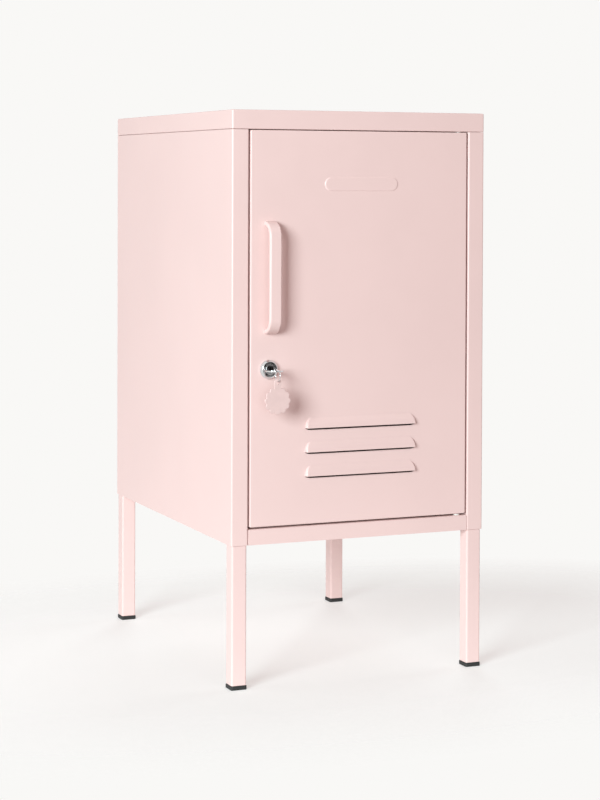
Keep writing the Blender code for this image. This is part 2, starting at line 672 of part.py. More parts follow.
def make_lock_plug(axis):
    """Turning plug with its keyway, a rear collar, and a square that drives the cam."""
    centre = (LOCK_X, FRONT, LOCK_Z)
    face = -BEZEL_OUT - GAP
    rear = BARREL_DEPTH + 2 * MM
    profile = [(0, face), (PLUG_R, face), (PLUG_R, BARREL_DEPTH + GAP), (PLUG_R + 1 * MM, BARREL_DEPTH + GAP),
               (PLUG_R + 1 * MM, rear), (0, rear)]
    plug = turned("lock_plug", profile, "Y", centre, steel("plug_steel"), 24)
    square_half = 3.3 * MM
    add(plug, box("cam_square", (LOCK_X - square_half, FRONT + rear - EPS, LOCK_Z - square_half),
                  (LOCK_X + square_half, FRONT + rear + GAP + CAM_THICK, LOCK_Z + square_half)))
    slot_x = KEY_BLADE_HALF + EPS
    slot_z = KEY_THICK / 2 + 0.4 * MM
    cut(plug, box("keyway", (LOCK_X - slot_x, FRONT + face - EPS, LOCK_Z - slot_z),
                  (LOCK_X + slot_x, FRONT + 12 * MM, LOCK_Z + slot_z)))
    cut(plug, rod("cam_thread", 2 * MM, "Y", centre, 13.5 * MM, 25 * MM, None, 12))
    hang(plug, axis, centre)

    start = FRONT + rear + GAP
    outline = arc((LOCK_X, LOCK_Z), CAM_HALF, 0, 180, 10)
    outline += [(LOCK_X - CAM_HALF, LOCK_Z - CAM_REACH + 3 * MM), (LOCK_X - CAM_HALF + 3 * MM, LOCK_Z - CAM_REACH),
                (LOCK_X + CAM_HALF - 3 * MM, LOCK_Z - CAM_REACH), (LOCK_X + CAM_HALF, LOCK_Z - CAM_REACH + 3 * MM)]
    cam = prism("lock_cam", outline, "Y", start, start + CAM_THICK, steel("cam_steel"))
    hole = square_half + GAP
    cut(cam, box("cam_hole", (LOCK_X - hole, start - EPS, LOCK_Z - hole),
                 (LOCK_X + hole, start + CAM_THICK + EPS, LOCK_Z + hole)))
    hang(cam, axis, centre)

    point = (LOCK_X, start + CAM_THICK + GAP, LOCK_Z)
    hang(screw("cam_screw", 4.5 * MM, 2 * MM, 1.7 * MM, 5 * MM, "Y", point, 1, steel("cam_screw_steel")),
         axis, centre)


def key_outline():
    """Plan of the key, (x, y): a blade with cuts on one edge, a neck and a round bow."""
    tip = FRONT - BEZEL_OUT - 2 * GAP + KEY_BLADE
    root = FRONT - BEZEL_OUT - 2 * GAP
    right = []
    cuts = (1.0, 2.2, 0.8, 1.7, 1.2)
    pitch = 2.6 * MM
    first = root + 2.6 * MM
    for i, depth in enumerate(cuts):
        y = first + i * pitch
        right += [(KEY_BLADE_HALF - depth * MM * 0.6, y), (KEY_BLADE_HALF, y + pitch / 2)]
    blade = [(KEY_BLADE_HALF, root)] + right + [(KEY_BLADE_HALF - 2 * MM, tip), (-1 * MM, tip),
                                                (-KEY_BLADE_HALF, tip - 2 * MM), (-KEY_BLADE_HALF, root)]
    shoulder = 4.8 * MM
    start = math.degrees(math.asin(shoulder / BOW_R))
    bow = arc((0, FRONT - BOW_CENTRE_OUT), BOW_R, 90 + start, 450 - start, 28)
    outline = blade + [(-shoulder, root)] + bow + [(shoulder, root)]
    return [(LOCK_X + x, y) for x, y in outline]


def make_key(axis):
    """Flat key standing in the plug with its bow level, and a hole for the ring."""
    half = KEY_THICK / 2
    key = prism("key", key_outline(), "Z", LOCK_Z - half, LOCK_Z + half, steel("key_steel"))
    hole_y = WEB_Y + BOW_WEB / 2 + BOW_HOLE_R
    cut(key, rod("bow_hole", BOW_HOLE_R, "Z", (LOCK_X, hole_y, LOCK_Z), -KEY_THICK, KEY_THICK, None, 24))
    hang(key, axis, (LOCK_X, FRONT, LOCK_Z))


def make_key_ring(axis):
    """Round ring that stands in the plane of Y and Z, through the bow's hole."""
    sides = 6
    profile = arc((RING_R, 0), RING_WIRE_R, 0, 360 - 360 / sides, sides - 1)
    ring = turned("key_ring", profile, "X", (LOCK_X, WEB_Y, RING_Z), steel("ring_steel"), 24)
    hang(ring, axis, (LOCK_X, WEB_Y, LOCK_Z))


def make_key_tag(axis):
    """Flat round tag with a scalloped rim, and a small tab with a hole at its top."""
    centre_z = RING_Z - RING_R - TAG_CENTRE_DROP
    steps = 6 * TAG_SCALLOPS
    outline = []
    for i in range(steps):
        t = 2 * math.pi * i / steps
        r = TAG_R - TAG_SCALLOP_DEPTH * (1 - abs(math.cos(TAG_SCALLOPS * t / 2)))
        outline.append((LOCK_X + r * math.sin(t), centre_z + r * math.cos(t)))
    y0, y1 = WEB_Y - TAG_THICK / 2, WEB_Y + TAG_THICK / 2
    tag = prism("key_tag", outline, "Y", y0, y1, coat("tag_coat"))
    hole_z = RING_Z - RING_R - TAG_HOLE_R + RING_WIRE_R + GAP
    tab = arc((LOCK_X, hole_z), TAG_TAB_R, -30, 210, 14)
    foot = 5 * MM
    tab += [(LOCK_X - foot, centre_z + TAG_R - 3 * MM), (LOCK_X + foot, centre_z + TAG_R - 3 * MM)]
    add(tag, prism("tag_tab", tab, "Y", y0 + 0.1 * MM, y1 - 0.1 * MM))
    cut(tag, rod("tag_hole", TAG_HOLE_R, "Y", (LOCK_X, WEB_Y, hole_z), -TAG_THICK, TAG_THICK, None, 16))
    hang(tag, axis, (LOCK_X, WEB_Y, RING_Z - RING_R))


# ---------------------------------------------------------------- assembly

def clear_scene():
    for obj in list(bpy.data.objects):
        bpy.data.objects.remove(obj, do_unlink=True)


def main():
    clear_scene()
    make_top_panel()
    make_side_panel(-1, "left")
    make_side_panel(1, "right")
    make_back_panel()
    make_cable_grommet()
    make_floor_panel()
    make_legs()
    make_body_screws()
    make_shelf()
    make_bumpers()
    door = axis_empty("door_hinge_axis", (HINGE_X, HINGE_Y, DOOR_BOTTOM))
    make_door_skin(door)
    make_handle(door)
    make_stiffener(door)
    make_hinges(door)
    make_lock_body(door)
    lock = axis_empty("lock_axis", (LOCK_X, FRONT, LOCK_Z), door)
    make_lock_plug(lock)
    key = axis_empty("key_axis", (LOCK_X, FRONT, LOCK_Z), lock)
    make_key(key)
    ring = axis_empty("ring_axis", (LOCK_X, WEB_Y, LOCK_Z), key)
    make_key_ring(ring)
    tag = axis_empty("tag_axis", (LOCK_X, WEB_Y, RING_Z - RING_R), ring)
    make_key_tag(tag)


main()
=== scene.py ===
"""Finished look of a small steel locker cabinet, laid out as a Blender add-on.

Metres, +Z up, the door faces -Y. Each piece is a surface worked out with numpy where the
fixed frame says it stands, with its place in its mesh, and rides on one of the frame's bodies.
"""

import json
import math

import bmesh
import bpy
import numpy as np
from mathutils import Matrix, Vector


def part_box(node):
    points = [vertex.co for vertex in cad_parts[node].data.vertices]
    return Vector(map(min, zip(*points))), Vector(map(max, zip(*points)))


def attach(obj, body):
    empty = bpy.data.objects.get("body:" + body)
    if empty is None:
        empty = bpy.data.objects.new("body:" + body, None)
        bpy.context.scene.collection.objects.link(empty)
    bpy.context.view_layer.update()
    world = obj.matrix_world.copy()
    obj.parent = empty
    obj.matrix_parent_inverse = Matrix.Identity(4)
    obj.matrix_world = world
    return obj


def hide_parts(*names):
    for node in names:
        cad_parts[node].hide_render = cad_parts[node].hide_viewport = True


bl_info = {
    "name": "Locker Cabinet",
    "version": (1, 0, 0),
    "blender": (4, 5, 0),
    "location": "3D View > Sidebar > Locker",
    "description": "Builds a small steel locker cabinet with its door, lock, key, shelf and stage",
    "category": "Add Mesh",
}

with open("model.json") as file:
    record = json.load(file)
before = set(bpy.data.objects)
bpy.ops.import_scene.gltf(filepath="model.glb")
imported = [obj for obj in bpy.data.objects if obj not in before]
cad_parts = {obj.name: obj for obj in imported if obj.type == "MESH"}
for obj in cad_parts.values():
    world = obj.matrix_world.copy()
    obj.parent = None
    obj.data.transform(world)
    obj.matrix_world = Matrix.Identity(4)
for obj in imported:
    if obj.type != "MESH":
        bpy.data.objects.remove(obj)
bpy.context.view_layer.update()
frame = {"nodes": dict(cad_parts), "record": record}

MM = 0.001
WELD = 0.001 * MM


def corners(node):
    """Lowest and highest corner of a frame node, as two arrays."""
    low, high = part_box(node)
    return np.array(low), np.array(high)


# Planes and centres that several pieces share, all read from the frame
FRONT = float(corners("top_panel")[0][1])
BACK = float(corners("top_panel")[1][1])
HALF = float(corners("top_panel")[1][0])
LID_BOTTOM = float(corners("top_panel")[0][2])
HEIGHT = float(corners("top_panel")[1][2])
UNDERSIDE = float(corners("side_panel_left")[0][2])
PANEL_TOP = float(corners("side_panel_left")[1][2])
RAIL_TOP = float(corners("floor_panel")[1][2])
STILE = 22.5 * MM
OPENING = HALF - STILE
LOCK = corners("lock_nut")[0][[0, 2]] / 2 + corners("lock_nut")[1][[0, 2]] / 2

# The stage, in metres
FLOOR_RADII = (0.0, 0.4, 0.9, 2.7)
CLEAR_REACH = (1.0, 0.6)    # half width and half depth of the ellipse that the floor's fade follows
CLEAR_SHARES = (0.55, 0.95)    # where the fade starts and stops, as shares of that ellipse
CARD_WIDTH, CARD_HEIGHT, CARD_Y = (-0.5, 4.2), (0.0, 3.2), -3.4
CAMERA_PLACE = (-1.07457, -2.55003, 0.63428)
CAMERA_ANGLES = (22.958, -1.152, 0.196)    # yaw, pitch and roll in degrees
CAMERA_SHIFT = -0.2251
LIGHTS = (    # name, direction from the cabinet, whether it shows in gloss
    ("key", (-1.15, -1.0, 0.35), True), ("front", (-0.2, -1.0, 0.1), True),
    ("left", (-1.0, 0.2, 0.9), False), ("right", (1.0, 0.25, 0.15), False),
    ("rear", (0.45, 1.0, 0.55), False),
)


# ---------------------------------------------------------------- settings

def length(name, description, default):
    """A size in metres that a user may change."""
    return bpy.props.FloatProperty(name=name, description=description, default=default, min=0.0,
                                   unit="LENGTH", subtype="DISTANCE", precision=5)


def share(name, description, default):
    """A number from nothing to all."""
    return bpy.props.FloatProperty(name=name, description=description, default=default, min=0.0,
                                   max=1.0, subtype="FACTOR")


def colour(name, description, default):
    """A linear colour."""
    return bpy.props.FloatVectorProperty(name=name, description=description, default=default, size=3,
                                         min=0.0, max=1.0, subtype="COLOR")


def power(name, description, default):
    """A light's power in watts."""
    return bpy.props.FloatProperty(name=name, description=description, default=default, min=0.0,
                                   unit="POWER")


class LOCKER_PG_finishes(bpy.types.PropertyGroup):
    """Colours and surface of each finish."""

    coat: colour("Powder coat", "Colour of the painted steel", (0.80, 0.597, 0.572))
    coat_gloss: share("Coat roughness", "How matt the paint is", 0.34)
    peel_size: length("Peel size", "Width of one ripple in the paint", 1.3 * MM)
    peel_depth: length("Peel depth", "Height of the ripples in the paint", 0.016 * MM)
    plastic: colour("Plastic", "Colour of the moulded feet", (0.012, 0.011, 0.012))
    rubber: colour("Rubber", "Colour of the grommet and pads", (0.017, 0.017, 0.019))
    nylon: colour("Nylon", "Colour of the hinge bushes", (0.80, 0.79, 0.74))
    chrome: colour("Chrome", "Colour of the bright lock parts", (0.72, 0.72, 0.73))
    zinc: colour("Zinc", "Colour of the plated fixings", (0.60, 0.60, 0.60))


class LOCKER_PG_sheet(bpy.types.PropertyGroup):
    """Folded sheet steel."""

    wall: length("Sheet", "Thickness of the steel", 1.0 * MM)
    bend: length("Bend", "Outer radius of a fold", 2.1 * MM)
    corner: length("Corner", "Plan radius of the lid's and shelf's corners", 2.0 * MM)
    stile_depth: length("Stile depth", "How far the stiles turn back behind the front", 15 * MM)
    lid_return: length("Lid return", "Width of the flange under the lid's lip", 16 * MM)
    edge: length("Edge", "How far a cut edge is broken", 0.22 * MM)


class LOCKER_PG_door(bpy.types.PropertyGroup):
    """Door skin with its pressings."""

    depth: length("Depth", "Depth of the door's folded edges", 12 * MM)
    bend: length("Bend", "Outer radius of the door's folded edges", 1.5 * MM)
    louvres: bpy.props.IntProperty(name="Louvres", description="How many louvres", default=3, min=1)
    pressing_x: length("Pressings' middle", "How far right of the middle the pressings sit", 0.5 * MM)
    louvre_low: length("Lowest lip", "Height of the lowest louvre's lip", 261.6 * MM)
    louvre_pitch: length("Pitch", "From one louvre's lip to the next", 30.2 * MM)
    louvre_half: length("Half length", "Half the length of a louvre", 76.5 * MM)
    louvre_end: length("End", "Length of a louvre's rounded end", 9 * MM)
    end_wall: share("End wall", "How much of a rounded end its steep wall takes up", 0.45)
    louvre_rise: length("Rise", "How far a louvre's lip stands out", 5 * MM)
    louvre_height: length("Height", "From a louvre's lip to its root", 13.7 * MM)
    louvre_slot: length("Slot", "How far the cut drops below the lip", 2.6 * MM)
    plate_width: length("Plate width", "Width of the plain raised bar", 101 * MM)
    plate_height: length("Plate height", "Height of the plain raised bar", 17 * MM)
    plate_z: length("Plate place", "Height of the raised bar's middle", 628 * MM)
    plate_rise: length("Plate rise", "How far the raised bar stands out", 0.8 * MM)


class LOCKER_PG_fittings(bpy.types.PropertyGroup):
    """Handle, lock, key and tag."""

    handle_thick: length("Handle thickness", "Thickness of the handle's bar", 6 * MM)
    handle_bend: length("Handle bend", "Radius of the handle's bends, at the middle of the bar", 17.6 * MM)
    handle_round: length("Handle rounding", "Radius along the bar's edges", 2.2 * MM)
    bezel: length("Bezel", "Radius of the lock's bright ring", 12 * MM)
    plug: length("Plug", "Radius of the turning plug", 6 * MM)
    key_bow: length("Key bow", "Radius of the key's round bow", 12 * MM)
    tag: length("Tag", "Radius of the tag over its lobes", 17.2 * MM)
    tag_lobes: bpy.props.IntProperty(name="Tag lobes", description="How many lobes", default=12, min=3)
    tag_dip: length("Tag dip", "Depth of the dips between the lobes", 2.3 * MM)


class LOCKER_PG_stage(bpy.types.PropertyGroup):
    """Floor, lights and camera."""

    backdrop: colour("Backdrop", "Colour of the surroundings", (0.947, 0.939, 0.922))
    fill: colour("Fill", "Warm light that comes from all round", (0.36, 0.26, 0.245))
    key: colour("Key", "Colour of the cool soft lights", (0.85, 0.98, 1.0))
    floor_glow: share("Floor glow", "Part of the floor's light that doesn't depend on shade", 0.44)
    floor_light: colour("Floor light", "Light that falls on the open floor", (0.91, 0.88, 0.87))
    key_power: power("Key light", "Power of the key light, in front on the left", 178.0)
    front_power: power("Front light", "Power of the light in front", 20.0)
    left_power: power("Left light", "Power of the high light on the left", 9.0)
    right_power: power("Right light", "Power of the light on the right, a little behind", 38.0)
    rear_power: power("Rear light", "Power of the light behind on the right", 45.0)
    light_size: length("Light size", "Width of each soft light", 1.6)
    light_distance: length("Light distance", "From each soft light to the cabinet", 4.0)
    lens: bpy.props.FloatProperty(name="Lens", description="Focal length", default=91.476, min=1.0,
                                  unit="CAMERA")


class LOCKER_PG_all(bpy.types.PropertyGroup):
    """All settings of the locker cabinet."""

    finishes: bpy.props.PointerProperty(type=LOCKER_PG_finishes)
    sheet: bpy.props.PointerProperty(type=LOCKER_PG_sheet)
    door: bpy.props.PointerProperty(type=LOCKER_PG_door)
    fittings: bpy.props.PointerProperty(type=LOCKER_PG_fittings)
    stage: bpy.props.PointerProperty(type=LOCKER_PG_stage)


# ---------------------------------------------------------------- surfaces

def place(axis, a, b, c):
    """Points from two coordinates in the plane across an axis and one along it."""
    order = {"X": (c, a, b), "Y": (a, c, b), "Z": (a, b, c)}[axis]
    return np.stack(np.broadcast_arrays(*order), axis=-1).astype(float)


def grid(points, closed=False):
    """A patch: points[row, column] joined by quads. With closed, the last column joins the first."""
    rows, columns = points.shape[:2]
    i = np.arange(rows - 1)[:, None] * columns
    j = np.arange(columns if closed else columns - 1)[None, :]
    k = (j + 1) % columns
    quads = np.stack([i + j, i + k, i + columns + k, i + columns + j], axis=-1)
    return points.reshape(-1, 3), quads.reshape(-1, 4)


def cap(loop):
    """A patch: one flat face over a closed loop of points."""
    return loop, np.arange(len(loop))[None, :]


def unit(vector):
    return vector / np.linalg.norm(vector)


def bent(points, radius, steps=8):
    """A path with its inner corners rounded.

    At each corner the arc's centre lies on the corner's bisector, radius / sin(half angle) away,
    and the arc turns evenly between the two spokes that meet the straight runs square.
    """
    points = np.asarray(points, float)
    radii = np.broadcast_to(radius, len(points) - 2)
    t = np.linspace(0, 1, steps + 1)[:, None]
    runs = [points[:1]]
    for before, corner, after, r in zip(points, points[1:], points[2:], radii):
        back, ahead = unit(before - corner), unit(after - corner)
        half = np.arccos(np.clip(back @ ahead, -1, 1)) / 2
        middle = corner + unit(back + ahead) * r / np.sin(half)
        start = corner + back * r / np.tan(half) - middle
        stop = corner + ahead * r / np.tan(half) - middle
        turn = np.pi - 2 * half
        runs.append(middle + (np.sin((1 - t) * turn) * start + np.sin(t * turn) * stop) / np.sin(turn))
    runs.append(points[-1:])
    return np.concatenate(runs)


def carried(path, axis, low, high):
    """A patch: a path in the plane across an axis, carried straight along the axis."""
    return grid(place(axis, path[:, :1], path[:, 1:], np.array([[low, high]])))


def turned(profile, axis, centre, steps=64):
    """A patch: a profile of radius and height turned about an axis through a centre.

    A point goes to centre + (radius cos t, radius sin t) across the axis and height along it.
    """
    t = np.linspace(0, 2 * np.pi, steps, endpoint=False)
    r, h = profile[:, :1], profile[:, 1:]
    return grid(place(axis, r * np.cos(t), r * np.sin(t), h) + np.asarray(centre), closed=True)


def outline(xs, ys, margin, inset=0.0, steps=8):
    """A closed loop round a rectangle with round corners, moved in by an inset.

    The rectangle's straight runs carry the given coordinates. The corners' centres stay still while
    the corner radius shrinks from margin to nothing, and past that the sides themselves move in.
    """
    radius, push = max(margin - inset, 0.0), max(inset - margin, 0.0)
    x = np.clip(xs, xs[0] + push, xs[-1] - push)
    y = np.clip(ys, ys[0] + push, ys[-1] - push)
    t = np.linspace(0, np.pi / 2, steps + 1)[1:-1]
    c, s = radius * np.cos(t), radius * np.sin(t)
    sides = [(x, y[0] - radius + 0 * x), (x[-1] + s, y[0] - c), (x[-1] + radius + 0 * y, y),
             (x[-1] + c, y[-1] + s), (x[::-1], y[-1] + radius + 0 * x), (x[0] - s, y[-1] + c),
             (x[0] - radius + 0 * y, y[::-1]), (x[0] - c, y[0] - s)]
    return np.concatenate([np.stack(side, axis=-1) for side in sides])


def stacked(loop, profile, axis="Z"):
    """A patch: loop(inset) at each inset and height of a profile, one above the other."""
    return grid(np.stack([place(axis, *loop(inset).T, height) for inset, height in profile]), closed=True)


def block(low, high, corner, round_edge, steps=5):
    """Patches of a closed bar standing on Z: round corners in plan and rounded ends."""
    xs = np.array([low[0] + corner, high[0] - corner])
    ys = np.array([low[1] + corner, high[1] - corner])
    profile = bent([(corner, low[2]), (0, low[2]), (0, high[2]), (corner, high[2])], round_edge, steps)

    def loop(inset):
        return outline(xs, ys, corner, inset)

    ends = [place("Z", *loop(corner).T, z) for z in (low[2], high[2])]
    return [stacked(loop, profile), cap(ends[0]), cap(ends[1])]


def swell(low, high, t):
    """Smooth step: nothing below low, one above high, with no corner at either."""
    t = np.clip((t - low) / (high - low), 0, 1)
    return t * t * (3 - 2 * t)


# ---------------------------------------------------------------- objects

def mesh_of(name, patches, facing=None):
    """One mesh from patches. Points that meet are merged and faces are turned outwards.

    An open sheet names the side that it shows, as a direction.
    """
    starts = np.cumsum([0] + [len(points) for points, _ in patches])
    points = np.concatenate([points for points, _ in patches])
    faces = []
    for start, (_, loops) in zip(starts, patches):
        faces += (loops + start).tolist()
    mesh = bpy.data.meshes.new(name)
    mesh.from_pydata(points.tolist(), [], faces)
    work = bmesh.new()
    work.from_mesh(mesh)
    bmesh.ops.remove_doubles(work, verts=work.verts, dist=WELD)
    bmesh.ops.dissolve_degenerate(work, edges=work.edges, dist=WELD)
    bmesh.ops.recalc_face_normals(work, faces=work.faces)
    if facing is not None:
        shown = sum((face.normal * face.calc_area() for face in work.faces), Vector())
        if shown.dot(Vector(facing)) < 0:
            bmesh.ops.reverse_faces(work, faces=work.faces)
    work.to_mesh(mesh)
    work.free()
    return mesh


def piece(name, patches, facing=None):
    """A new object at the origin, with its place in its mesh."""
    obj = bpy.data.objects.new(name, mesh_of(name, patches, facing))
    bpy.context.scene.collection.objects.link(obj)
    return obj


def cutter(patches):
    """A closed solid that is taken out of a piece and then removed."""
    obj = piece("cutter", patches)
    obj.hide_render = True
    return obj


def rod(radius, axis, centre, low, high, steps=48):
    """Patches of a plain round bar, for a cutter."""
    return [turned(np.array([(0, low), (radius, low), (radius, high), (0, high)]), axis, centre, steps)]


def settle(obj, wall=0.0, cutters=(), edge=0.0, crease=40, even=True):
    """Finish a piece: give a sheet its wall on the inner side, take out the cutters, break the
    sharp edges, and keep all of it in the mesh with large flats shaded flat."""
    if wall:
        shell = obj.modifiers.new("wall", "SOLIDIFY")
        shell.thickness = wall
        shell.offset = -1
        shell.use_even_offset = True
        shell.use_quality_normals = True
    for tool in cutters:
        hole = obj.modifiers.new("hole", "BOOLEAN")
        hole.operation = "DIFFERENCE"
        hole.solver = "EXACT"
        hole.object = tool
    if edge:
        bevel = obj.modifiers.new("edge", "BEVEL")
        bevel.width = edge
        bevel.segments = 2
        bevel.limit_method = "ANGLE"
        bevel.angle_limit = math.radians(50)
    keep(obj)
    obj.data.shade_smooth()
    obj.data.set_sharp_from_angle(angle=math.radians(crease))
    if even:
        weights = obj.modifiers.new("flats", "WEIGHTED_NORMAL")
        weights.keep_sharp = True
        keep(obj)
    for tool in cutters:
        bpy.data.objects.remove(tool, do_unlink=True)
    return obj


def keep(obj):
    """Put what the modifiers give into the mesh, and drop them."""
    evaluated = obj.evaluated_get(bpy.context.evaluated_depsgraph_get())
    mesh = bpy.data.meshes.new_from_object(evaluated)
    obj.modifiers.clear()
    obj.data = mesh


def fit(obj, body, slot, material, *nodes):
    """Give a piece its finish and its body, and hide the frame nodes that it stands for."""
    obj.data.materials.clear()
    obj.data.materials.append(material)
    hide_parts(*nodes)
    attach(obj, body)
    return obj


# ---------------------------------------------------------------- finishes

class Finish:
    """A material in the making: its shader, with patterns fed by object coordinates."""

    def __init__(self, name, constants):
        self.material = bpy.data.materials.new(name)
        self.material.use_nodes = True
        self.nodes = self.material.node_tree.nodes
        self.links = self.material.node_tree.links
        self.shader = self.nodes["Principled BSDF"]
        self.place = self.nodes.new("ShaderNodeTexCoord").outputs["Object"]
        for socket, value in constants.items():
            self.shader.inputs[socket].default_value = value

    def stretched(self, x, y, z):
        """Object coordinates with each axis scaled, for a pattern with a direction."""
        node = self.nodes.new("ShaderNodeMapping")
        node.inputs["Scale"].default_value = (x, y, z)
        self.links.new(self.place, node.inputs["Vector"])
        return node.outputs["Vector"]

    def noise(self, width, detail=2.0, where=None):
        """Cloudy noise whose lumps are about as wide as given, in metres."""
        node = self.nodes.new("ShaderNodeTexNoise")
        node.inputs["Scale"].default_value = 1 / width
        node.inputs["Detail"].default_value = detail
        self.links.new(where or self.place, node.inputs["Vector"])
        return node.outputs["Fac"]

    def spread(self, value, low, high, start=0.3, stop=0.7):
        """A pattern's middle range brought to run from low to high."""
        node = self.nodes.new("ShaderNodeMapRange")
        for socket, number in (("From Min", start), ("From Max", stop), ("To Min", low), ("To Max", high)):
            node.inputs[socket].default_value = number
        self.links.new(value, node.inputs["Value"])
        return node.outputs["Result"]

    def sum(self, first, second, weight):
        """First plus weight times second."""
        node = self.nodes.new("ShaderNodeMath")
        node.operation = "MULTIPLY_ADD"
        self.links.new(second, node.inputs[0])
        node.inputs[1].default_value = weight
        self.links.new(first, node.inputs[2])
        return node.outputs["Value"]

    def tint(self, value, base, low, high):
        """Base colour that runs between a darker and a lighter shade with a pattern."""
        node = self.nodes.new("ShaderNodeMix")
        node.data_type = "RGBA"
        node.inputs["A"].default_value = (*[c * low for c in base], 1)
        node.inputs["B"].default_value = (*[min(c * high, 1) for c in base], 1)
        self.links.new(value, node.inputs["Factor"])
        self.links.new(node.outputs["Result"], self.shader.inputs["Base Color"])

    def roughen(self, value):
        self.links.new(value, self.shader.inputs["Roughness"])

    def bump(self, value, depth, strength=1.0):
        """Small relief of the given height."""
        node = self.nodes.new("ShaderNodeBump")
        node.inputs["Strength"].default_value = strength
        node.inputs["Distance"].default_value = depth
        self.links.new(value, node.inputs["Height"])
        self.links.new(node.outputs["Normal"], self.shader.inputs["Normal"])


def finish(name, make):
    """The material of that name, made the first time that it is asked for."""
    return bpy.data.materials.get(name) or make(name, bpy.context.scene.locker.finishes)


def make_coat(name, look):
    """Satin powder coat: fine orange peel over a slow drift of shade and gloss."""
    f = Finish(name, {"IOR": 1.5})
    f.tint(f.spread(f.noise(0.12, 3), 0, 1), look.coat, 0.985, 1.012)
    f.roughen(f.spread(f.noise(0.03, 4), look.coat_gloss - 0.03, look.coat_gloss + 0.04))
    peel = f.sum(f.noise(look.peel_size, 1), f.noise(look.peel_size / 4, 2), 0.25)
    f.bump(peel, look.peel_depth)
    return f.material


def make_tag_plastic(name, look):
    """Smooth moulded plastic in the coat's colour, with a faint flow pattern."""
    f = Finish(name, {"IOR": 1.46})
    f.tint(f.spread(f.noise(0.008, 3), 0, 1), look.coat, 0.88, 0.94)
    f.roughen(f.spread(f.noise(0.004, 3), 0.36, 0.5))
    f.bump(f.noise(0.6 * MM, 3), 0.02 * MM)
    return f.material


def make_plastic(name, look):
    """Black moulded plastic with a fine spark-eroded grain."""
    f = Finish(name, {"IOR": 1.5})
    f.tint(f.spread(f.noise(0.006, 4), 0, 1), look.plastic, 0.8, 1.6)
    f.roughen(f.spread(f.noise(0.003, 3), 0.48, 0.62))
    f.bump(f.noise(0.35 * MM, 2), 0.04 * MM)
    return f.material


def make_rubber(name, look):
    """Black rubber, matt, with a dusty bloom."""
    f = Finish(name, {"IOR": 1.5, "Specular IOR Level": 0.35})
    f.tint(f.spread(f.noise(0.004, 5), 0, 1), look.rubber, 0.8, 2.2)
    f.roughen(f.spread(f.noise(0.005, 4), 0.68, 0.85))
    f.bump(f.noise(0.5 * MM, 3), 0.05 * MM)
    return f.material


def make_nylon(name, look):
    """White nylon, slightly clear."""
    f = Finish(name, {"IOR": 1.53, "Subsurface Weight": 0.15, "Subsurface Scale": 1.5 * MM})
    f.tint(f.spread(f.noise(0.003, 3), 0, 1), look.nylon, 0.95, 1.0)
    f.roughen(f.spread(f.noise(0.002, 3), 0.38, 0.5))
    f.bump(f.noise(0.4 * MM, 2), 0.015 * MM)
    return f.material


def make_chrome(name, look):
    """Polished chrome with a breath of handling smears and hair scratches."""
    f = Finish(name, {"Metallic": 1.0})
    f.tint(f.spread(f.noise(0.006, 3), 0, 1), look.chrome, 0.94, 1.04)
    f.roughen(f.spread(f.noise(0.004, 5), 0.05, 0.16))
    f.bump(f.noise(0.25 * MM, 2, f.stretched(1, 1, 0.12)), 0.001 * MM)
    return f.material


def make_zinc(name, look):
    """Bright zinc plate: mottled shade and a fine drawn grain."""
    f = Finish(name, {"Metallic": 1.0})
    f.tint(f.spread(f.noise(0.004, 4), 0, 1), look.zinc, 0.82, 1.08)
    f.roughen(f.spread(f.noise(0.003, 4), 0.22, 0.4))
    f.bump(f.noise(0.3 * MM, 3, f.stretched(0.2, 1, 1)), 0.006 * MM)
    return f.material


def make_floor(name, look):
    """Pale matt floor that fades into the backdrop well away from the cabinet."""
    stage = bpy.context.scene.locker.stage
    glow = stage.floor_glow
    base = [c * (1 - glow) / light for c, light in zip(stage.backdrop, stage.floor_light)]
    f = Finish(name, {"Roughness": 0.9, "Emission Strength": 1.0, "Specular IOR Level": 0.0})
    f.shader.inputs["Emission Color"].default_value = (*[c * glow for c in stage.backdrop], 1)
    f.tint(f.spread(f.noise(0.02, 5), 0, 1), base, 0.995, 1.005)
    f.bump(f.noise(0.004, 3), 0.05 * MM)
    far = f.nodes.new("ShaderNodeVectorMath")
    far.operation = "LENGTH"
    f.links.new(f.stretched(1 / CLEAR_REACH[0], 1 / CLEAR_REACH[1], 1), far.inputs[0])
    clear = f.nodes.new("ShaderNodeBsdfTransparent")
    blend = f.nodes.new("ShaderNodeMixShader")
    f.links.new(f.spread(far.outputs["Value"], 0, 1, *CLEAR_SHARES), blend.inputs["Fac"])
    f.links.new(f.shader.outputs["BSDF"], blend.inputs[1])
    f.links.new(clear.outputs["BSDF"], blend.inputs[2])
    f.links.new(blend.outputs["Shader"], f.nodes["Material Output"].inputs["Surface"])
    return f.material


def make_card(name, look):
    """Dark felt of the studio's card."""
    f = Finish(name, {"Roughness": 1.0, "Specular IOR Level": 0.0})
    f.tint(f.spread(f.noise(0.3, 2), 0, 1), (0.02, 0.02, 0.02), 0.9, 1.1)
    return f.material


def coat():
    return finish("pink_powder_coat", make_coat)


def zinc():
    return finish("zinc_plate", make_zinc)


def chrome():
    return finish("polished_chrome", make_chrome)


# ---------------------------------------------------------------- cabinet body

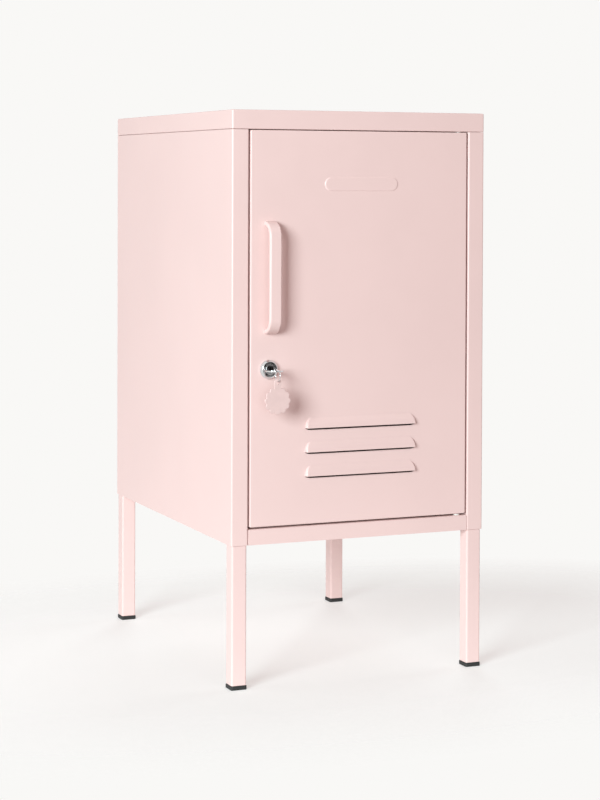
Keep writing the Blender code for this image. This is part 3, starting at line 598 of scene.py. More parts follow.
class LOCKER_OT_lid(bpy.types.Operator):
    """Lid: a shallow tray turned over, with a flange folded in under its lip"""

    bl_idname = "locker.lid"
    bl_label = "Lid"

    def execute(self, context):
        sheet = context.scene.locker.sheet
        low, high = corners("top_panel")
        margin = sheet.corner
        xs = np.array([low[0] + margin, high[0] - margin])
        ys = np.array([low[1] + margin, high[1] - margin])
        profile = bent([(sheet.lid_return, low[2]), (0, low[2]), (0, high[2]), (margin, high[2])],
                       [1.3 * MM, 1.7 * MM])

        def loop(inset):
            return outline(xs, ys, margin, inset)

        top = place("Z", *loop(margin).T, high[2])
        obj = piece("lid", [stacked(loop, profile), cap(top)], facing=(0, 0, 1))
        settle(obj, sheet.wall, edge=sheet.edge)
        fit(obj, "cabinet", "pink_coat", coat(), "top_panel")
        return {"FINISHED"}


class LOCKER_OT_sides(bpy.types.Operator):
    """Sides: each is one sheet folded from the rear flange round the side to the front stile"""

    bl_idname = "locker.sides"
    bl_label = "Sides"

    def execute(self, context):
        sheet = context.scene.locker.sheet
        for side, name in ((-1, "left"), (1, "right")):
            corners_of_plan = [(side * OPENING, BACK), (side * HALF, BACK), (side * HALF, FRONT),
                               (side * OPENING, FRONT), (side * OPENING, FRONT + sheet.stile_depth)]
            path = bent(corners_of_plan, sheet.bend)
            obj = piece(f"side_{name}", [carried(path, "Z", UNDERSIDE, PANEL_TOP)], facing=(side, 0, 0))
            settle(obj, sheet.wall, edge=sheet.edge)
            fit(obj, "cabinet", "pink_coat", coat(), f"side_panel_{name}")
            self.flanges(sheet, side, name)
        self.stop_lip(sheet)
        return {"FINISHED"}

    def flanges(self, sheet, side, name):
        """Level flanges at the head and foot, for the lid and the floor."""
        tray = corners("back_panel")[0][1] - 0.3 * MM
        inner, outer = sorted((side * (OPENING + 0.2 * MM), side * (HALF - sheet.wall - 0.1 * MM)))
        patches = []
        for z in (UNDERSIDE + 0.1 * MM, PANEL_TOP - sheet.wall - 0.1 * MM):
            low = (inner, FRONT + sheet.wall + 0.1 * MM, z)
            high = (outer, tray, z + sheet.wall)
            patches += block(low, high, 0.8 * MM, 0.2 * MM, 3)
        obj = piece(f"side_flanges_{name}", patches)
        fit(settle(obj), "cabinet", "pink_coat", coat())

    def stop_lip(self, sheet):
        """Upright lip that stops the door, turned in from the left stile."""
        low = (-OPENING - 0.2 * MM, FRONT + sheet.stile_depth - sheet.wall, RAIL_TOP + 0.6 * MM)
        high = (-OPENING + 8 * MM, FRONT + sheet.stile_depth - 0.1 * MM, PANEL_TOP - 2 * sheet.wall)
        obj = piece("stop_lip", block(low, high, 0.4 * MM, 0.25 * MM, 3))
        fit(settle(obj), "cabinet", "pink_coat", coat())


class LOCKER_OT_back(bpy.types.Operator):
    """Back: a flat sheet with a round cable hole, and the rubber grommet that lines it"""

    bl_idname = "locker.back"
    bl_label = "Back"

    def execute(self, context):
        sheet = context.scene.locker.sheet
        low, high = corners("back_panel")
        ring_low, ring_high = corners("cable_grommet")
        middle = (ring_low + ring_high) / 2
        hole = cutter(rod(20 * MM, "Y", middle, -5 * MM, 5 * MM, 96))
        obj = piece("back", block(low, high, 0.45 * MM, 0.2 * MM, 3))
        settle(obj, cutters=[hole], edge=sheet.edge)
        fit(obj, "cabinet", "pink_coat", coat(), "back_panel")

        rim, neck, bore = 23 * MM, 19.7 * MM, 17 * MM
        inner, outer = ring_low[1] - middle[1], ring_high[1] - middle[1]
        groove = sheet.wall / 2 + 0.3 * MM
        lip = bent([(bore, 0), (bore, inner), (rim, inner), (rim, -groove), (neck, -groove), (neck, groove),
                    (rim, groove), (rim, outer), (bore, outer), (bore, 0)],
                   np.array([0.7, 0.6, 0.15, 0.1, 0.1, 0.15, 0.6, 0.7]) * MM, 6)
        obj = piece("grommet", [turned(lip, "Y", middle, 96)])
        fit(settle(obj), "cabinet", "black_rubber", finish("black_rubber", make_rubber), "cable_grommet")
        return {"FINISHED"}


class LOCKER_OT_floor(bpy.types.Operator):
    """Floor: a tray turned over, narrow between the stiles, with the deep rail in front"""

    bl_idname = "locker.floor"
    bl_label = "Floor"

    def execute(self, context):
        sheet = context.scene.locker.sheet
        low, high = corners("floor_panel")
        rest = low[2] + 1.3 * MM
        neck = FRONT + sheet.stile_depth + 2.2 * MM

        def plan(inset):
            """Eight corners of the tray, moved in by an inset."""
            narrow, wide = OPENING - 0.3 * MM - inset, high[0] - inset
            near, far = neck + inset, high[1] - inset
            x = np.array([-narrow, narrow, narrow, wide, wide, -wide, -wide, -narrow])
            y = np.array([FRONT + inset, FRONT + inset, near, near, far, far, near, near])
            return np.stack([x, y], axis=-1)

        profile = bent([(13 * MM, rest), (0, rest), (0, high[2]), (3 * MM, high[2])], [1.3 * MM, sheet.bend])
        points = np.stack([place("Z", *plan(inset).T, z) for inset, z in profile])
        foot = profile[:, 1] < rest + 0.6 * MM
        points[foot, :2] = place("Z", *plan(0)[:2].T, low[2])
        obj = piece("floor_tray", [grid(points, closed=True), cap(points[-1])], facing=(0, 0, 1))
        settle(obj, sheet.wall, edge=sheet.edge)
        fit(obj, "cabinet", "pink_coat", coat(), "floor_panel")
        return {"FINISHED"}


class LOCKER_OT_legs(bpy.types.Operator):
    """Legs: square tubes with round corners, each on a chamfered plastic foot"""

    bl_idname = "locker.legs"
    bl_label = "Legs and feet"

    def execute(self, context):
        plastic = finish("black_plastic", make_plastic)
        for place_name in ("front_left", "front_right", "back_left", "back_right"):
            low, high = corners(f"leg_{place_name}")
            obj = piece(f"leg_{place_name}_tube", block(low, high, 2.4 * MM, 0.4 * MM, 3))
            fit(settle(obj), "cabinet", "pink_coat", coat(), f"leg_{place_name}")
            low, high = corners(f"foot_cap_{place_name}")
            high[2] = 5 * MM
            obj = piece(f"foot_{place_name}", block(low, high, 2.6 * MM, 0.7 * MM, 4))
            fit(settle(obj), "cabinet", "black_plastic", plastic, f"foot_cap_{place_name}")
        return {"FINISHED"}


class LOCKER_OT_shelf(bpy.types.Operator):
    """Shelf: a sheet with its edges folded down, on two angle rails"""

    bl_idname = "locker.shelf"
    bl_label = "Shelf and rails"

    def execute(self, context):
        sheet = context.scene.locker.sheet
        low, high = corners("shelf")
        margin = sheet.corner
        xs = np.array([low[0] + margin, high[0] - margin])
        ys = np.array([low[1] + margin, high[1] - margin])

        def loop(inset):
            return outline(xs, ys, margin, inset)

        profile = bent([(0, low[2]), (0, high[2]), (margin, high[2])], 1.8 * MM)
        top = place("Z", *loop(margin).T, high[2])
        obj = piece("shelf_tray", [stacked(loop, profile), cap(top)], facing=(0, 0, 1))
        settle(obj, sheet.wall, edge=sheet.edge)
        fit(obj, "shelf", "pink_coat", coat(), "shelf")
        for side, name in ((-1, "left"), (1, "right")):
            low, high = corners(f"shelf_rail_{name}")
            wall_side, free_side = (low[0], high[0]) if side < 0 else (high[0], low[0])
            path = bent([(wall_side, low[2]), (wall_side, high[2]), (free_side, high[2])], sheet.bend)
            obj = piece(f"rail_{name}", [carried(path, "Y", low[1], high[1])], facing=(side, 0, 1))
            settle(obj, sheet.wall, edge=sheet.edge)
            fit(obj, "cabinet", "pink_coat", coat(), f"shelf_rail_{name}")
        return {"FINISHED"}


# ---------------------------------------------------------------- screws

def screw_patches(axis, point, up, head_r, head, shank_r, shank, socket):
    """Patches of a screw with its head's underside at a point.

    The head's height over it is head (1 - 0.55 (r / R)^4), less the drive's recess. The drive is a cross,
    or a hexagon where socket is its half width, and its wall is a smooth step of the distance to its
    outline. Then the profile goes round the rim, under the head and down the shank to its point.
    """
    t = np.linspace(0, 2 * np.pi, 72, endpoint=False)
    r = np.linspace(0, 1, 30)[:, None] * (head_r - 0.25 * MM)
    x, y = r * np.cos(t), r * np.sin(t)
    if socket:
        turns = np.arange(3) * np.pi / 3
        spokes = x[..., None] * np.cos(turns) + y[..., None] * np.sin(turns)
        over = np.abs(spokes).max(axis=-1) - socket
    else:
        arm, reach = 0.14 * head_r, 0.62 * head_r
        over = np.maximum(np.minimum(abs(x), abs(y)) - arm, np.maximum(abs(x), abs(y)) - reach)
    recess = 0.55 * head * (1 - swell(-0.09 * head_r, 0.04 * head_r, over))
    height = head * (1 - 0.55 * (r / head_r) ** 4) - recess
    edge = height[-1, 0]
    side = bent([(r[-1, 0], edge), (head_r, edge - 0.12 * MM), (head_r, 0), (shank_r, 0), (shank_r, -shank),
                 (0, -shank)], np.array([0.1, 0.1, 0.1, 0.3]) * MM, 3)
    top = place("Z", x, y, height)
    below = place("Z", side[:, :1] * np.cos(t), side[:, :1] * np.sin(t), side[:, 1:])
    a, b, c = np.moveaxis(np.concatenate([top, below]), -1, 0)
    return [grid(place(axis, a, b, c * up) + np.asarray(point), closed=True)]


class LOCKER_OT_screws(bpy.types.Operator):
    """Screws: bolts in the legs, and cross-head screws in the lid, floor, back and handle"""

    bl_idname = "locker.screws"
    bl_label = "Screws"

    def execute(self, context):
        for node in sorted(frame["nodes"]):
            if node.startswith("leg_bolt"):
                self.screw(node, "Z", 1, 4.9 * MM, 3.2 * MM, 3 * MM, 2.5 * MM)
            elif node.startswith(("top_screw", "floor_screw")):
                self.screw(node, "Z", -1, 3.5 * MM, 2.2 * MM, 2 * MM)
            elif node.startswith("back_screw"):
                self.screw(node, "Y", 1, 3.5 * MM, 1.2 * MM, 2 * MM)
            elif node.startswith("handle_screw"):
                self.screw(node, "Y", 1, 4 * MM, 2.4 * MM, 1.7 * MM)
            elif node == "cam_screw":
                self.screw(node, "Y", 1, 4.5 * MM, 2 * MM, 1.7 * MM)
        return {"FINISHED"}

    def screw(self, node, axis, up, head_r, head, shank_r, socket=0.0):
        """One screw over its frame node: its head is at the end that up points to."""
        low, high = corners(node)
        along = "XYZ".index(axis)
        point = (low + high) / 2
        point[along] = high[along] - head if up > 0 else low[along] + head
        shank = high[along] - low[along] - head
        obj = piece(f"{node}_body", screw_patches(axis, point, up, head_r, head, shank_r, shank, socket))
        settle(obj, crease=50, even=False)
        body = next(row for row, nodes in frame["record"]["behaviour"]["bodies"].items() if node in nodes)
        if node.startswith("back_screw"):
            fit(obj, body, "pink_coat", coat(), node)
        else:
            fit(obj, body, "zinc_steel", zinc(), node)


# ---------------------------------------------------------------- door

class LOCKER_OT_door(bpy.types.Operator):
    """Door: one sheet with folded edges, pressed louvres and a plain raised bar"""

    bl_idname = "locker.door"
    bl_label = "Door"

    def execute(self, context):
        sheet, door = context.scene.locker.sheet, context.scene.locker.door
        low, high = corners("door_skin")
        margin = door.bend + 0.4 * MM
        xs = self.columns(door, low[0] + margin, high[0] - margin)
        zs, slot_rows = self.rows(door, low[2] + margin, high[2] - margin)
        x, z = np.meshgrid(xs, zs)
        y = FRONT - self.plate(door, x, z)
        open_cells = np.zeros((len(zs) - 1, len(xs) - 1), bool)
        middle = (xs[:-1] + xs[1:]) / 2 - door.pressing_x
        pressed = abs(xs - door.pressing_x) < door.louvre_half + WELD
        for i, row in enumerate(slot_rows):
            lip = door.louvre_low + i * door.louvre_pitch
            hood = (zs > lip - WELD) & (zs < lip + door.louvre_height + WELD)
            out, up = self.hood(door, xs, (zs[hood, None] - lip) / door.louvre_height)
            y[hood] = FRONT - door.louvre_rise * out
            z[hood] = np.where(pressed, lip + door.louvre_height * up, z[hood])
            z[row] = np.where(pressed, lip - door.louvre_slot * np.maximum(up[-1], 0.12), z[row])
            open_cells[row] = abs(middle) < door.louvre_half
        points, quads = grid(np.stack([x, y, z], axis=-1))
        face = points, quads[~open_cells.ravel()]

        def loop(inset):
            return outline(xs, zs, margin, inset)

        profile = bent([(margin, FRONT), (0, FRONT), (0, FRONT + door.depth)], door.bend, 6)
        obj = piece("door", [face, stacked(loop, profile, "Y")], facing=(0, -1, 0))
        barrel = cutter(rod(8.3 * MM, "Y", (LOCK[0], FRONT, LOCK[1]), -3 * MM, 3 * MM))
        hinge_low, hinge_high = corners("hinge_pin_top")
        hinge = (hinge_low + hinge_high) / 2
        pins = [cutter(rod(2.8 * MM, "Z", (hinge[0], hinge[1], end), -3 * MM, 3 * MM))
                for end in (low[2], high[2])]
        settle(obj, sheet.wall, cutters=[barrel, *pins], edge=sheet.edge, crease=42)
        fit(obj, "door", "pink_coat", coat(), "door_skin")
        self.stiffener(sheet)
        return {"FINISHED"}

    def columns(self, door, low, high):
        """Stations across the door, close together at the ends of the louvres and the raised bar."""
        end = door.louvre_half - door.louvre_end * (1 - np.sin(np.linspace(0, np.pi / 2, 28)))
        wing = door.plate_width / 2 - door.plate_height / 2
        bar = wing + np.linspace(0, door.plate_height / 2 + 1 * MM, 20)
        close = door.pressing_x + np.concatenate([end, -end, bar, -bar])
        return self.spaced(np.concatenate([np.linspace(low, high, 24), close]), low, high)

    def rows(self, door, low, high):
        """Stations up the door, and the row of each louvre's slot."""
        ratio = np.linspace(0, 1, 17) ** 1.15
        lips = door.louvre_low + np.arange(door.louvres) * door.louvre_pitch
        hoods = (lips[:, None] + ratio * door.louvre_height).ravel()
        slots = lips - door.louvre_slot
        reach = door.plate_height / 2 + 1 * MM
        bar = np.linspace(door.plate_z - reach, door.plate_z + reach, 40)
        fixed = np.concatenate([hoods, slots, slots - 1 * MM, hoods.reshape(len(lips), -1)[:, -1] + 1 * MM])
        plain = np.linspace(low, high, 28)
        clear = abs(plain[:, None] - fixed[None, :]).min(axis=1) > 3 * MM
        inside = (plain[:, None] > slots) & (plain[:, None] < lips + door.louvre_height)
        plain = plain[clear & ~inside.any(axis=1)]
        zs = self.spaced(np.concatenate([[low, high], plain, bar, fixed]), low, high)
        return zs, [int(np.abs(zs - slot).argmin()) for slot in slots]

    def spaced(self, values, low, high):
        """Sorted stations with near repeats left out."""
        values = np.unique(values)
        keep_it = np.concatenate([[True], np.diff(values) > 0.05 * MM])
        values = values[keep_it]
        values[0], values[-1] = low, high
        return values

    def hood(self, door, x, ratio):
        """How far a louvre stands out and up, as shares of its rise and height.

        With s the way into a rounded end and r the height's share, the end's outline is where
        s^2 + r^2 = 1, and the ratio runs from the lip to that outline. The face falls off as
        (1 - r^2)^1.35, and in the ends a smooth step of 1 - s^2 - r^2 makes it a steep wall.
        """
        s = np.clip((abs(x - door.pressing_x) - door.louvre_half + door.louvre_end) / door.louvre_end, 0, 1)
        r = ratio * np.sqrt(1 - s ** 2)
        wall = np.clip((1 - s ** 2 - r ** 2) / np.maximum(door.end_wall * s, WELD), 0, 1)
        return (1 - r ** 2) ** 1.35 * wall * (2 - wall), r

    def plate(self, door, x, z):
        """Raised bar: a smooth step of the distance to a bar with round ends."""
        radius = door.plate_height / 2
        along = np.maximum(abs(x - door.pressing_x) - (door.plate_width / 2 - radius), 0)
        distance = np.hypot(along, z - door.plate_z)
        return door.plate_rise * (1 - swell(radius - 0.9 * MM, radius + 0.5 * MM, distance))

    def stiffener(self, sheet):
        """Hat-shaped channel behind the lock side."""
        low, high = corners("door_stiffener")
        web = 8 * MM
        path = bent([(low[0], low[1]), (low[0] + web, low[1]), (low[0] + web, high[1]),
                     (high[0] - web, high[1]), (high[0] - web, low[1]), (high[0], low[1])],
                    np.array([0.5, 1.5, 1.5, 0.5]) * MM, 5)
        path[:, 1] = np.minimum(path[:, 1], high[1])
        obj = piece("stiffener", [carried(path, "Z", low[2], high[2])], facing=(0, 1, 0))
        settle(obj, sheet.wall, edge=sheet.edge)
        fit(obj, "door", "pink_coat", coat(), "door_stiffener")


class LOCKER_OT_handle(bpy.types.Operator):
    """Handle: a flat bar with rounded edges, bent into a D"""

    bl_idname = "locker.handle"
    bl_label = "Handle"

    def execute(self, context):
        fittings = context.scene.locker.fittings
        low, high = corners("handle")
        half = fittings.handle_thick / 2
        ends = [(high[1], low[2] + half), (low[1] + half, low[2] + half),
                (low[1] + half, high[2] - half), (high[1], high[2] - half)]
        path = bent(ends, fittings.handle_bend, 20)
        ahead = np.gradient(path, axis=0)
        ahead /= np.linalg.norm(ahead, axis=1, keepdims=True)
        ahead[0], ahead[-1] = (-1, 0), (1, 0)
        aside = np.stack([-ahead[:, 1], ahead[:, 0]], axis=-1)
        corner = fittings.handle_round
        flat = np.array([corner - half, half - corner])
        wide = np.array([low[0] + corner, high[0] - corner])
        section = outline(flat, wide, corner, steps=8)
        y = path[:, :1] + aside[:, :1] * section[:, 0]
        z = path[:, 1:] + aside[:, 1:] * section[:, 0]
        points = np.stack([np.broadcast_to(section[:, 1], y.shape), y, z], axis=-1)
        obj = piece("pull_handle", [grid(points, closed=True), cap(points[0]), cap(points[-1])])
        settle(obj, edge=0.35 * MM)
        fit(obj, "door", "pink_coat", coat(), "handle")
        return {"FINISHED"}


class LOCKER_OT_hinges(bpy.types.Operator):
    """Hinges: plated pins on the door, nylon bushes in the lid and the floor, and the rubber pads"""

    bl_idname = "locker.hinges"
    bl_label = "Hinges and pads"

    def execute(self, context):
        nylon = finish("white_nylon", make_nylon)
        for tag, up in (("top", 1), ("bottom", -1)):
            low, high = corners(f"hinge_pin_{tag}")
            middle = (low + high) / 2
            reach = high[2] - low[2]
            middle[2] = low[2] if up > 0 else high[2]
            pin = bent([(0, 0), (4.3 * MM, 0), (4.3 * MM, 2.5 * MM), (2.5 * MM, 2.5 * MM), (2.5 * MM, reach),
                        (0, reach)], np.array([0.5, 0.3, 0.1, 0.6]) * MM, 5)
            obj = piece(f"pin_{tag}", [turned(pin * (1, up), "Z", middle)])
            fit(settle(obj), "door", "zinc_steel", zinc(), f"hinge_pin_{tag}")

            low, high = corners(f"hinge_bush_{tag}")
            middle = (low + high) / 2
            middle[2] = low[2] if up > 0 else high[2]
            hang = LID_BOTTOM - low[2] if up > 0 else high[2] - RAIL_TOP
            tall, collar, skirt = high[2] - low[2], 4.4 * MM, hang + 1.3 * MM
            bush = bent([(2.75 * MM, tall / 2), (2.75 * MM, 0), (4 * MM, 0), (4 * MM, skirt), (collar, skirt),
                         (collar, tall), (2.75 * MM, tall), (2.75 * MM, tall / 2)],
                        np.array([0.25, 0.3, 0.1, 0.1, 0.25, 0.25]) * MM, 4)
            obj = piece(f"bush_{tag}", [turned(bush * (1, up), "Z", middle)])
            fit(settle(obj), "cabinet", "white_nylon", nylon, f"hinge_bush_{tag}")

            low, high = corners(f"door_bumper_{tag}")
            middle = (low + high) / 2
            middle[1] = high[1]
            out, radius = low[1] - high[1], 3.2 * MM
            pad = bent([(0, out), (radius - 0.3 * MM, out), (radius, 0), (0, 0)],
                       np.array([0.5, 0.1]) * MM, 5)
            obj = piece(f"pad_{tag}", [turned(pad, "Y", middle, 48)])
            fit(settle(obj), "cabinet", "black_rubber", finish("black_rubber", make_rubber),
                f"door_bumper_{tag}")
        return {"FINISHED"}


# ---------------------------------------------------------------- lock, key and tag

class LOCKER_OT_lock(bpy.types.Operator):
    """Lock: a bright bezel on its barrel, the nut behind, and the turning plug with its cam"""

    bl_idname = "locker.lock"
    bl_label = "Lock"

    def execute(self, context):
        fittings = context.scene.locker.fittings
        centre = (LOCK[0], 0, LOCK[1])
        low, high = corners("lock_body")
        bore, rim = fittings.plug + 0.3 * MM, fittings.bezel
        seat, barrel = FRONT - 0.3 * MM, 8 * MM
        ring = bent([(bore, high[1] - 2 * MM), (bore, low[1]), (rim - 2.2 * MM, low[1]),
                     (rim, low[1] + 2.6 * MM), (rim, seat), (barrel, seat), (barrel, high[1]),
                     (bore, high[1]), (bore, high[1] - 2 * MM)],
                    np.array([0.45, 1.2, 1.0, 0.15, 0.2, 0.4, 0.2]) * MM, 8)
        obj = piece("bezel", [turned(ring, "Y", centre, 96)])
        fit(settle(obj), "door", "bright_chrome", chrome(), "lock_body")
        self.nut(centre)
        self.plug(fittings, centre)
        self.cam()
        return {"FINISHED"}

    def nut(self, centre):
        """Six-sided nut: the radius is the smaller of the hexagon's and each row's chamfer cone."""
        low = corners("lock_nut")[0]
        t = np.linspace(0, 2 * np.pi, 96, endpoint=False)
        flat = 11.2 * MM * np.cos(np.pi / 6)
        hexagon = flat / np.cos((t % (np.pi / 3)) - np.pi / 6)
        rows = np.array([(8.3, 0.3), (8.6, 0.0), (10.0, 0.0), (12.0, 1.1), (12.0, 2.9), (10.0, 4.0),
                         (8.6, 4.0), (8.3, 3.7), (8.3, 0.3)]) * MM
        r = np.minimum(hexagon, rows[:, :1])
        points = place("Y", r * np.cos(t), r * np.sin(t), rows[:, 1:]) + (centre[0], low[1], centre[2])
        obj = piece("lock_nut_body", [grid(points, closed=True)])
        fit(settle(obj, crease=25), "door", "zinc_steel", zinc(), "lock_nut")

    def plug(self, fittings, centre):
        """Turning plug with its keyway."""
        low = corners("lock_plug")[0]
        collar = corners("lock_body")[1][1] + 0.3 * MM
        collar_end, collar_r = collar + 1.7 * MM, 7 * MM
        profile = bent([(0, low[1]), (fittings.plug, low[1]), (fittings.plug, collar), (collar_r, collar),
                        (collar_r, collar_end), (0, collar_end)],
                       np.array([0.45, 0.1, 0.2, 0.2]) * MM, 6)
        slot_low = (LOCK[0] - 3.5 * MM, low[1] - 1 * MM, LOCK[1] - 1.3 * MM)
        slot_high = (LOCK[0] + 3.5 * MM, low[1] + 17.3 * MM, LOCK[1] + 1.3 * MM)
        keyway = cutter(block(slot_low, slot_high, 0.1 * MM, 0.05 * MM, 2))
        obj = piece("plug", [turned(profile, "Y", centre, 96)])
        settle(obj, cutters=[keyway], edge=0.2 * MM)
        fit(obj, "lock", "bright_chrome", chrome(), "lock_plug")

    def cam(self):
        """Flat arm with a round head, which turns behind the stile."""
        low, high = corners("lock_cam")
        half = (high[0] - low[0]) / 2
        t = np.linspace(0, np.pi, 33)
        head = np.stack([LOCK[0] + half * np.cos(t), LOCK[1] + half * np.sin(t)], axis=-1)
        tail = bent([head[-1], (low[0], low[2]), (high[0], low[2]), head[0]], 3 * MM)
        loop = np.concatenate([head[1:], tail[1:]])
        ends = [place("Y", *loop.T, y) for y in (low[1], high[1])]
        obj = piece("cam", [grid(np.stack(ends), closed=True), cap(ends[0]), cap(ends[1])])
        settle(obj, edge=0.25 * MM)
        fit(obj, "lock", "zinc_steel", zinc(), "lock_cam")


class LOCKER_OT_key(bpy.types.Operator):
    """Key: a flat blade with cuts and a round bow, and the split ring through its hole"""

    bl_idname = "locker.key"
    bl_label = "Key and ring"

    def execute(self, context):
        fittings = context.scene.locker.fittings
        low, high = corners("key")
        ring_low, ring_high = corners("key_ring")
        tip, root = high[1], high[1] - 16.5 * MM
        bow = fittings.key_bow
        centre_y = low[1] + bow
        pitch = 2.6 * MM
        first = root + pitch + np.arange(5) * pitch
        depth = 3 * MM - 0.6 * np.array([1.0, 2.2, 0.8, 1.7, 1.2]) * MM
        teeth = np.stack([depth, first, 3 * MM + 0 * first, first + pitch / 2], axis=-1).reshape(-1, 2)
        start = np.arcsin(4.8 * MM / bow)
        t = np.linspace(np.pi / 2 + start, 2.5 * np.pi - start, 73)
        round_bow = np.stack([bow * np.cos(t), centre_y + bow * np.sin(t)], axis=-1)
        loop = np.concatenate([[(3 * MM, root)], teeth,
                               [(1 * MM, tip), (-1 * MM, tip), (-3 * MM, tip - 2 * MM), (-3 * MM, root),
                                (-4.8 * MM, root)], round_bow, [(4.8 * MM, root)]])
        loop[:, 0] += LOCK[0]
        ends = [place("Z", *loop.T, z) for z in (low[2], high[2])]
        hole_y = low[1] + 2.4 * MM + 3.5 * MM
        hole = cutter(rod(3.5 * MM, "Z", (LOCK[0], hole_y, LOCK[1]), -3 * MM, 3 * MM))
        obj = piece("key_body", [grid(np.stack(ends), closed=True), cap(ends[0]), cap(ends[1])])
        settle(obj, cutters=[hole], edge=0.3 * MM)
        fit(obj, "key", "bright_chrome", chrome(), "key")
        self.split_ring((ring_low + ring_high) / 2, (ring_high[2] - ring_low[2]) / 2)
        return {"FINISHED"}

    def split_ring(self, centre, reach):
        """Two turns of flattened wire side by side, with a step across where the first turn ends."""
        wire, thick = 0.27 * MM, 0.55 * MM
        turns = np.linspace(0.04, 1.96, 192)
        t = 2 * np.pi * turns + np.pi / 2
        shift = (wire + 0.02 * MM) * (2 * swell(0.94, 1.06, turns) - 1)
        s = np.linspace(0, 2 * np.pi, 16, endpoint=False)
        across = wire * np.sign(np.cos(s)) * abs(np.cos(s)) ** 0.6
        out = thick * np.sign(np.sin(s)) * abs(np.sin(s)) ** 0.6
        radius = reach - thick + out[None, :]
        x = centre[0] + shift[:, None] + across[None, :]
        y = centre[1] + radius * np.cos(t)[:, None]
        z = centre[2] + radius * np.sin(t)[:, None]
        points = np.stack([x, y, z], axis=-1)
        obj = piece("split_ring", [grid(points, closed=True), cap(points[0]), cap(points[-1])])
        fit(settle(obj, even=False, crease=60), "ring", "bright_chrome", chrome(), "key_ring")


class LOCKER_OT_tag(bpy.types.Operator):
    """Tag: a flat disc with a lobed rim and a tab with a hole"""

    bl_idname = "locker.tag"
    bl_label = "Tag"

    def execute(self, context):
        fittings = context.scene.locker.fittings
        low, high = corners("key_tag")
        middle = (low + high) / 2
        half = (high[1] - low[1]) / 2
        centre_z = low[2] + fittings.tag
        tab_r = 4.6 * MM
        hole_z = high[2] - tab_r
        far = hole_z - centre_z
        t = np.linspace(0, 2 * np.pi, 480, endpoint=False)
        wave = np.sqrt(np.cos(fittings.tag_lobes * t / 2) ** 2 + 0.02) / np.sqrt(1.02)
        lobes = fittings.tag - fittings.tag_dip * (1 - wave)
        s, c = np.sin(t), np.cos(t)
        inside = np.maximum(tab_r ** 2 - (far * s) ** 2, 0)
        dome = np.where((abs(far * s) < tab_r) & (c > 0), far * c + np.sqrt(inside), 0)
        flank = np.where(c > 0.9, np.minimum(tab_r / np.maximum(abs(s), 1e-6), far), 0)
        rim = np.maximum(lobes, np.maximum(dome, np.where(dome > 0, 0, flank)))
        edge = 0.7 * MM
        bow = bent([(edge * 2, -half), (0, -half), (0, half), (edge * 2, half)], edge, 6)
        rings = rim[None, :] - bow[:, :1]
        inner = (rim - 2 * edge)[None, :] * np.linspace(0, 1, 6)[:, None]
        r = np.concatenate([inner[:-1], rings, inner[-2::-1]])
        y = np.concatenate([np.full(5, -half), bow[:, 1], np.full(5, half)])[:, None]
        points = place("Y", r * s, r * c, y) + (middle[0], middle[1], centre_z)
        hole = cutter(rod(2.2 * MM, "Y", (middle[0], middle[1], hole_z), -3 * MM, 3 * MM))
        obj = piece("tag_disc", [grid(points, closed=True)])
        settle(obj, cutters=[hole], edge=0.0)
        fit(obj, "tag", "pink_coat", finish("tag_plastic", make_tag_plastic), "key_tag")
        return {"FINISHED"}


# ---------------------------------------------------------------- stage

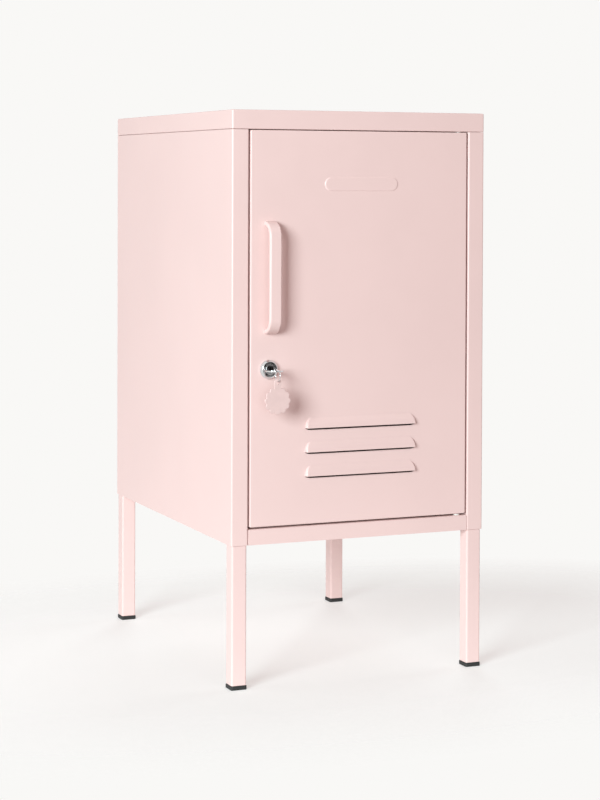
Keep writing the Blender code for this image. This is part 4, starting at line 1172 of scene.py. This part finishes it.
class LOCKER_OT_stage(bpy.types.Operator):
    """Stage: a plain pale floor, five soft lights, a dark card for reflections, and the camera"""

    bl_idname = "locker.stage"
    bl_label = "Stage"

    def execute(self, context):
        stage = context.scene.locker.stage
        rings = np.array([(radius, 0.0) for radius in FLOOR_RADII])
        floor = piece("floor", [turned(rings, "Z", (0, 0, 0), 96)], facing=(0, 0, 1))
        floor.data.materials.append(finish("pale_floor", make_floor))

        self.surroundings(context, stage)
        for name, direction, mirrored in LIGHTS:
            self.soft_light(context, name, direction, getattr(stage, f"{name}_power"), mirrored)
        self.dark_card()
        self.camera(context, stage)
        return {"FINISHED"}

    def surroundings(self, context, stage):
        """Pale backdrop all round, seen by the camera and in gloss. Its light on matt surfaces is the
        dimmer, warmer fill."""
        world = bpy.data.worlds.new("studio")
        world.use_nodes = True
        nodes, links = world.node_tree.nodes, world.node_tree.links
        shown = nodes.new("ShaderNodeMix")
        shown.data_type = "RGBA"
        shown.inputs["A"].default_value = (*stage.fill, 1)
        shown.inputs["B"].default_value = (*stage.backdrop, 1)
        ray, seen = nodes.new("ShaderNodeLightPath"), nodes.new("ShaderNodeMath")
        links.new(ray.outputs["Is Camera Ray"], seen.inputs[0])
        links.new(ray.outputs["Is Glossy Ray"], seen.inputs[1])
        links.new(seen.outputs["Value"], shown.inputs["Factor"])
        links.new(shown.outputs["Result"], nodes["Background"].inputs["Color"])
        context.scene.world = world
        context.scene.view_settings.view_transform = "Standard"

    def soft_light(self, context, name, direction, watts, mirrored):
        """A square soft light that faces the cabinet's middle from a direction, and that shines in
        its gloss only when mirrored."""
        stage = context.scene.locker.stage
        aim = Vector(direction).normalized()
        data = bpy.data.lights.new(name, "AREA")
        data.size, data.energy, data.color = stage.light_size, watts, stage.key
        lamp = bpy.data.objects.new(name, data)
        lamp.visible_camera = False
        lamp.visible_glossy = mirrored
        lamp.location = Vector((0, 0, HEIGHT / 2)) + aim * stage.light_distance
        lamp.rotation_euler = aim.to_track_quat("Z", "Y").to_euler()
        context.scene.collection.objects.link(lamp)

    def dark_card(self):
        """A dark card in front, seen only in reflections, that gives the bright metal its contrast."""
        x, z = np.meshgrid(np.linspace(*CARD_WIDTH, 3), np.linspace(*CARD_HEIGHT, 3))
        card = piece("dark_card", [grid(place("Y", x, z, CARD_Y))], facing=(0, 1, 0))
        card.data.materials.append(finish("dark_card", make_card))
        card.visible_camera = card.visible_diffuse = card.visible_shadow = False

    def camera(self, context, stage):
        """Camera at standing distance, a little left of the door and level with the lid."""
        yaw, pitch, roll = (math.radians(a) for a in CAMERA_ANGLES)
        ahead = Vector((math.sin(yaw) * math.cos(pitch), math.cos(yaw) * math.cos(pitch), math.sin(pitch)))
        right = Vector((math.cos(yaw), -math.sin(yaw), 0))
        up = right.cross(ahead)
        tilted = math.cos(roll) * right + math.sin(roll) * up
        upright = math.cos(roll) * up - math.sin(roll) * right
        data = bpy.data.cameras.new("camera")
        data.lens, data.shift_y = stage.lens, CAMERA_SHIFT
        camera = bpy.data.objects.new("camera", data)
        turn = Matrix((tilted, upright, -ahead)).transposed().to_4x4()
        camera.matrix_world = Matrix.Translation(CAMERA_PLACE) @ turn
        context.scene.collection.objects.link(camera)
        context.scene.camera = camera


# ---------------------------------------------------------------- panel and registration

MAKERS = (LOCKER_OT_lid, LOCKER_OT_sides, LOCKER_OT_back, LOCKER_OT_floor, LOCKER_OT_legs, LOCKER_OT_shelf,
          LOCKER_OT_screws, LOCKER_OT_door, LOCKER_OT_handle, LOCKER_OT_hinges, LOCKER_OT_lock,
          LOCKER_OT_key, LOCKER_OT_tag, LOCKER_OT_stage)
GROUPS = ("finishes", "sheet", "door", "fittings", "stage")


class LOCKER_PT_panel(bpy.types.Panel):
    """Settings and makers of the locker cabinet"""

    bl_label = "Locker Cabinet"
    bl_idname = "LOCKER_PT_panel"
    bl_space_type = "VIEW_3D"
    bl_region_type = "UI"
    bl_category = "Locker"

    def draw(self, context):
        for group in GROUPS:
            settings = getattr(context.scene.locker, group)
            box = self.layout.box()
            box.label(text=group.capitalize())
            for name in settings.bl_rna.properties.keys():
                if name not in ("rna_type", "name"):
                    box.prop(settings, name)
        for maker in MAKERS:
            self.layout.operator(maker.bl_idname)


CLASSES = (LOCKER_PG_finishes, LOCKER_PG_sheet, LOCKER_PG_door, LOCKER_PG_fittings, LOCKER_PG_stage,
           LOCKER_PG_all, *MAKERS, LOCKER_PT_panel)


def register():
    for cls in CLASSES:
        bpy.utils.register_class(cls)
    bpy.types.Scene.locker = bpy.props.PointerProperty(type=LOCKER_PG_all)


def unregister():
    del bpy.types.Scene.locker
    for cls in reversed(CLASSES):
        bpy.utils.unregister_class(cls)


def main():
    """Make every piece and the stage."""
    register()
    for maker in MAKERS:
        group, name = maker.bl_idname.split(".")
        getattr(getattr(bpy.ops, group), name)()


if __name__ == "__main__":
    main()
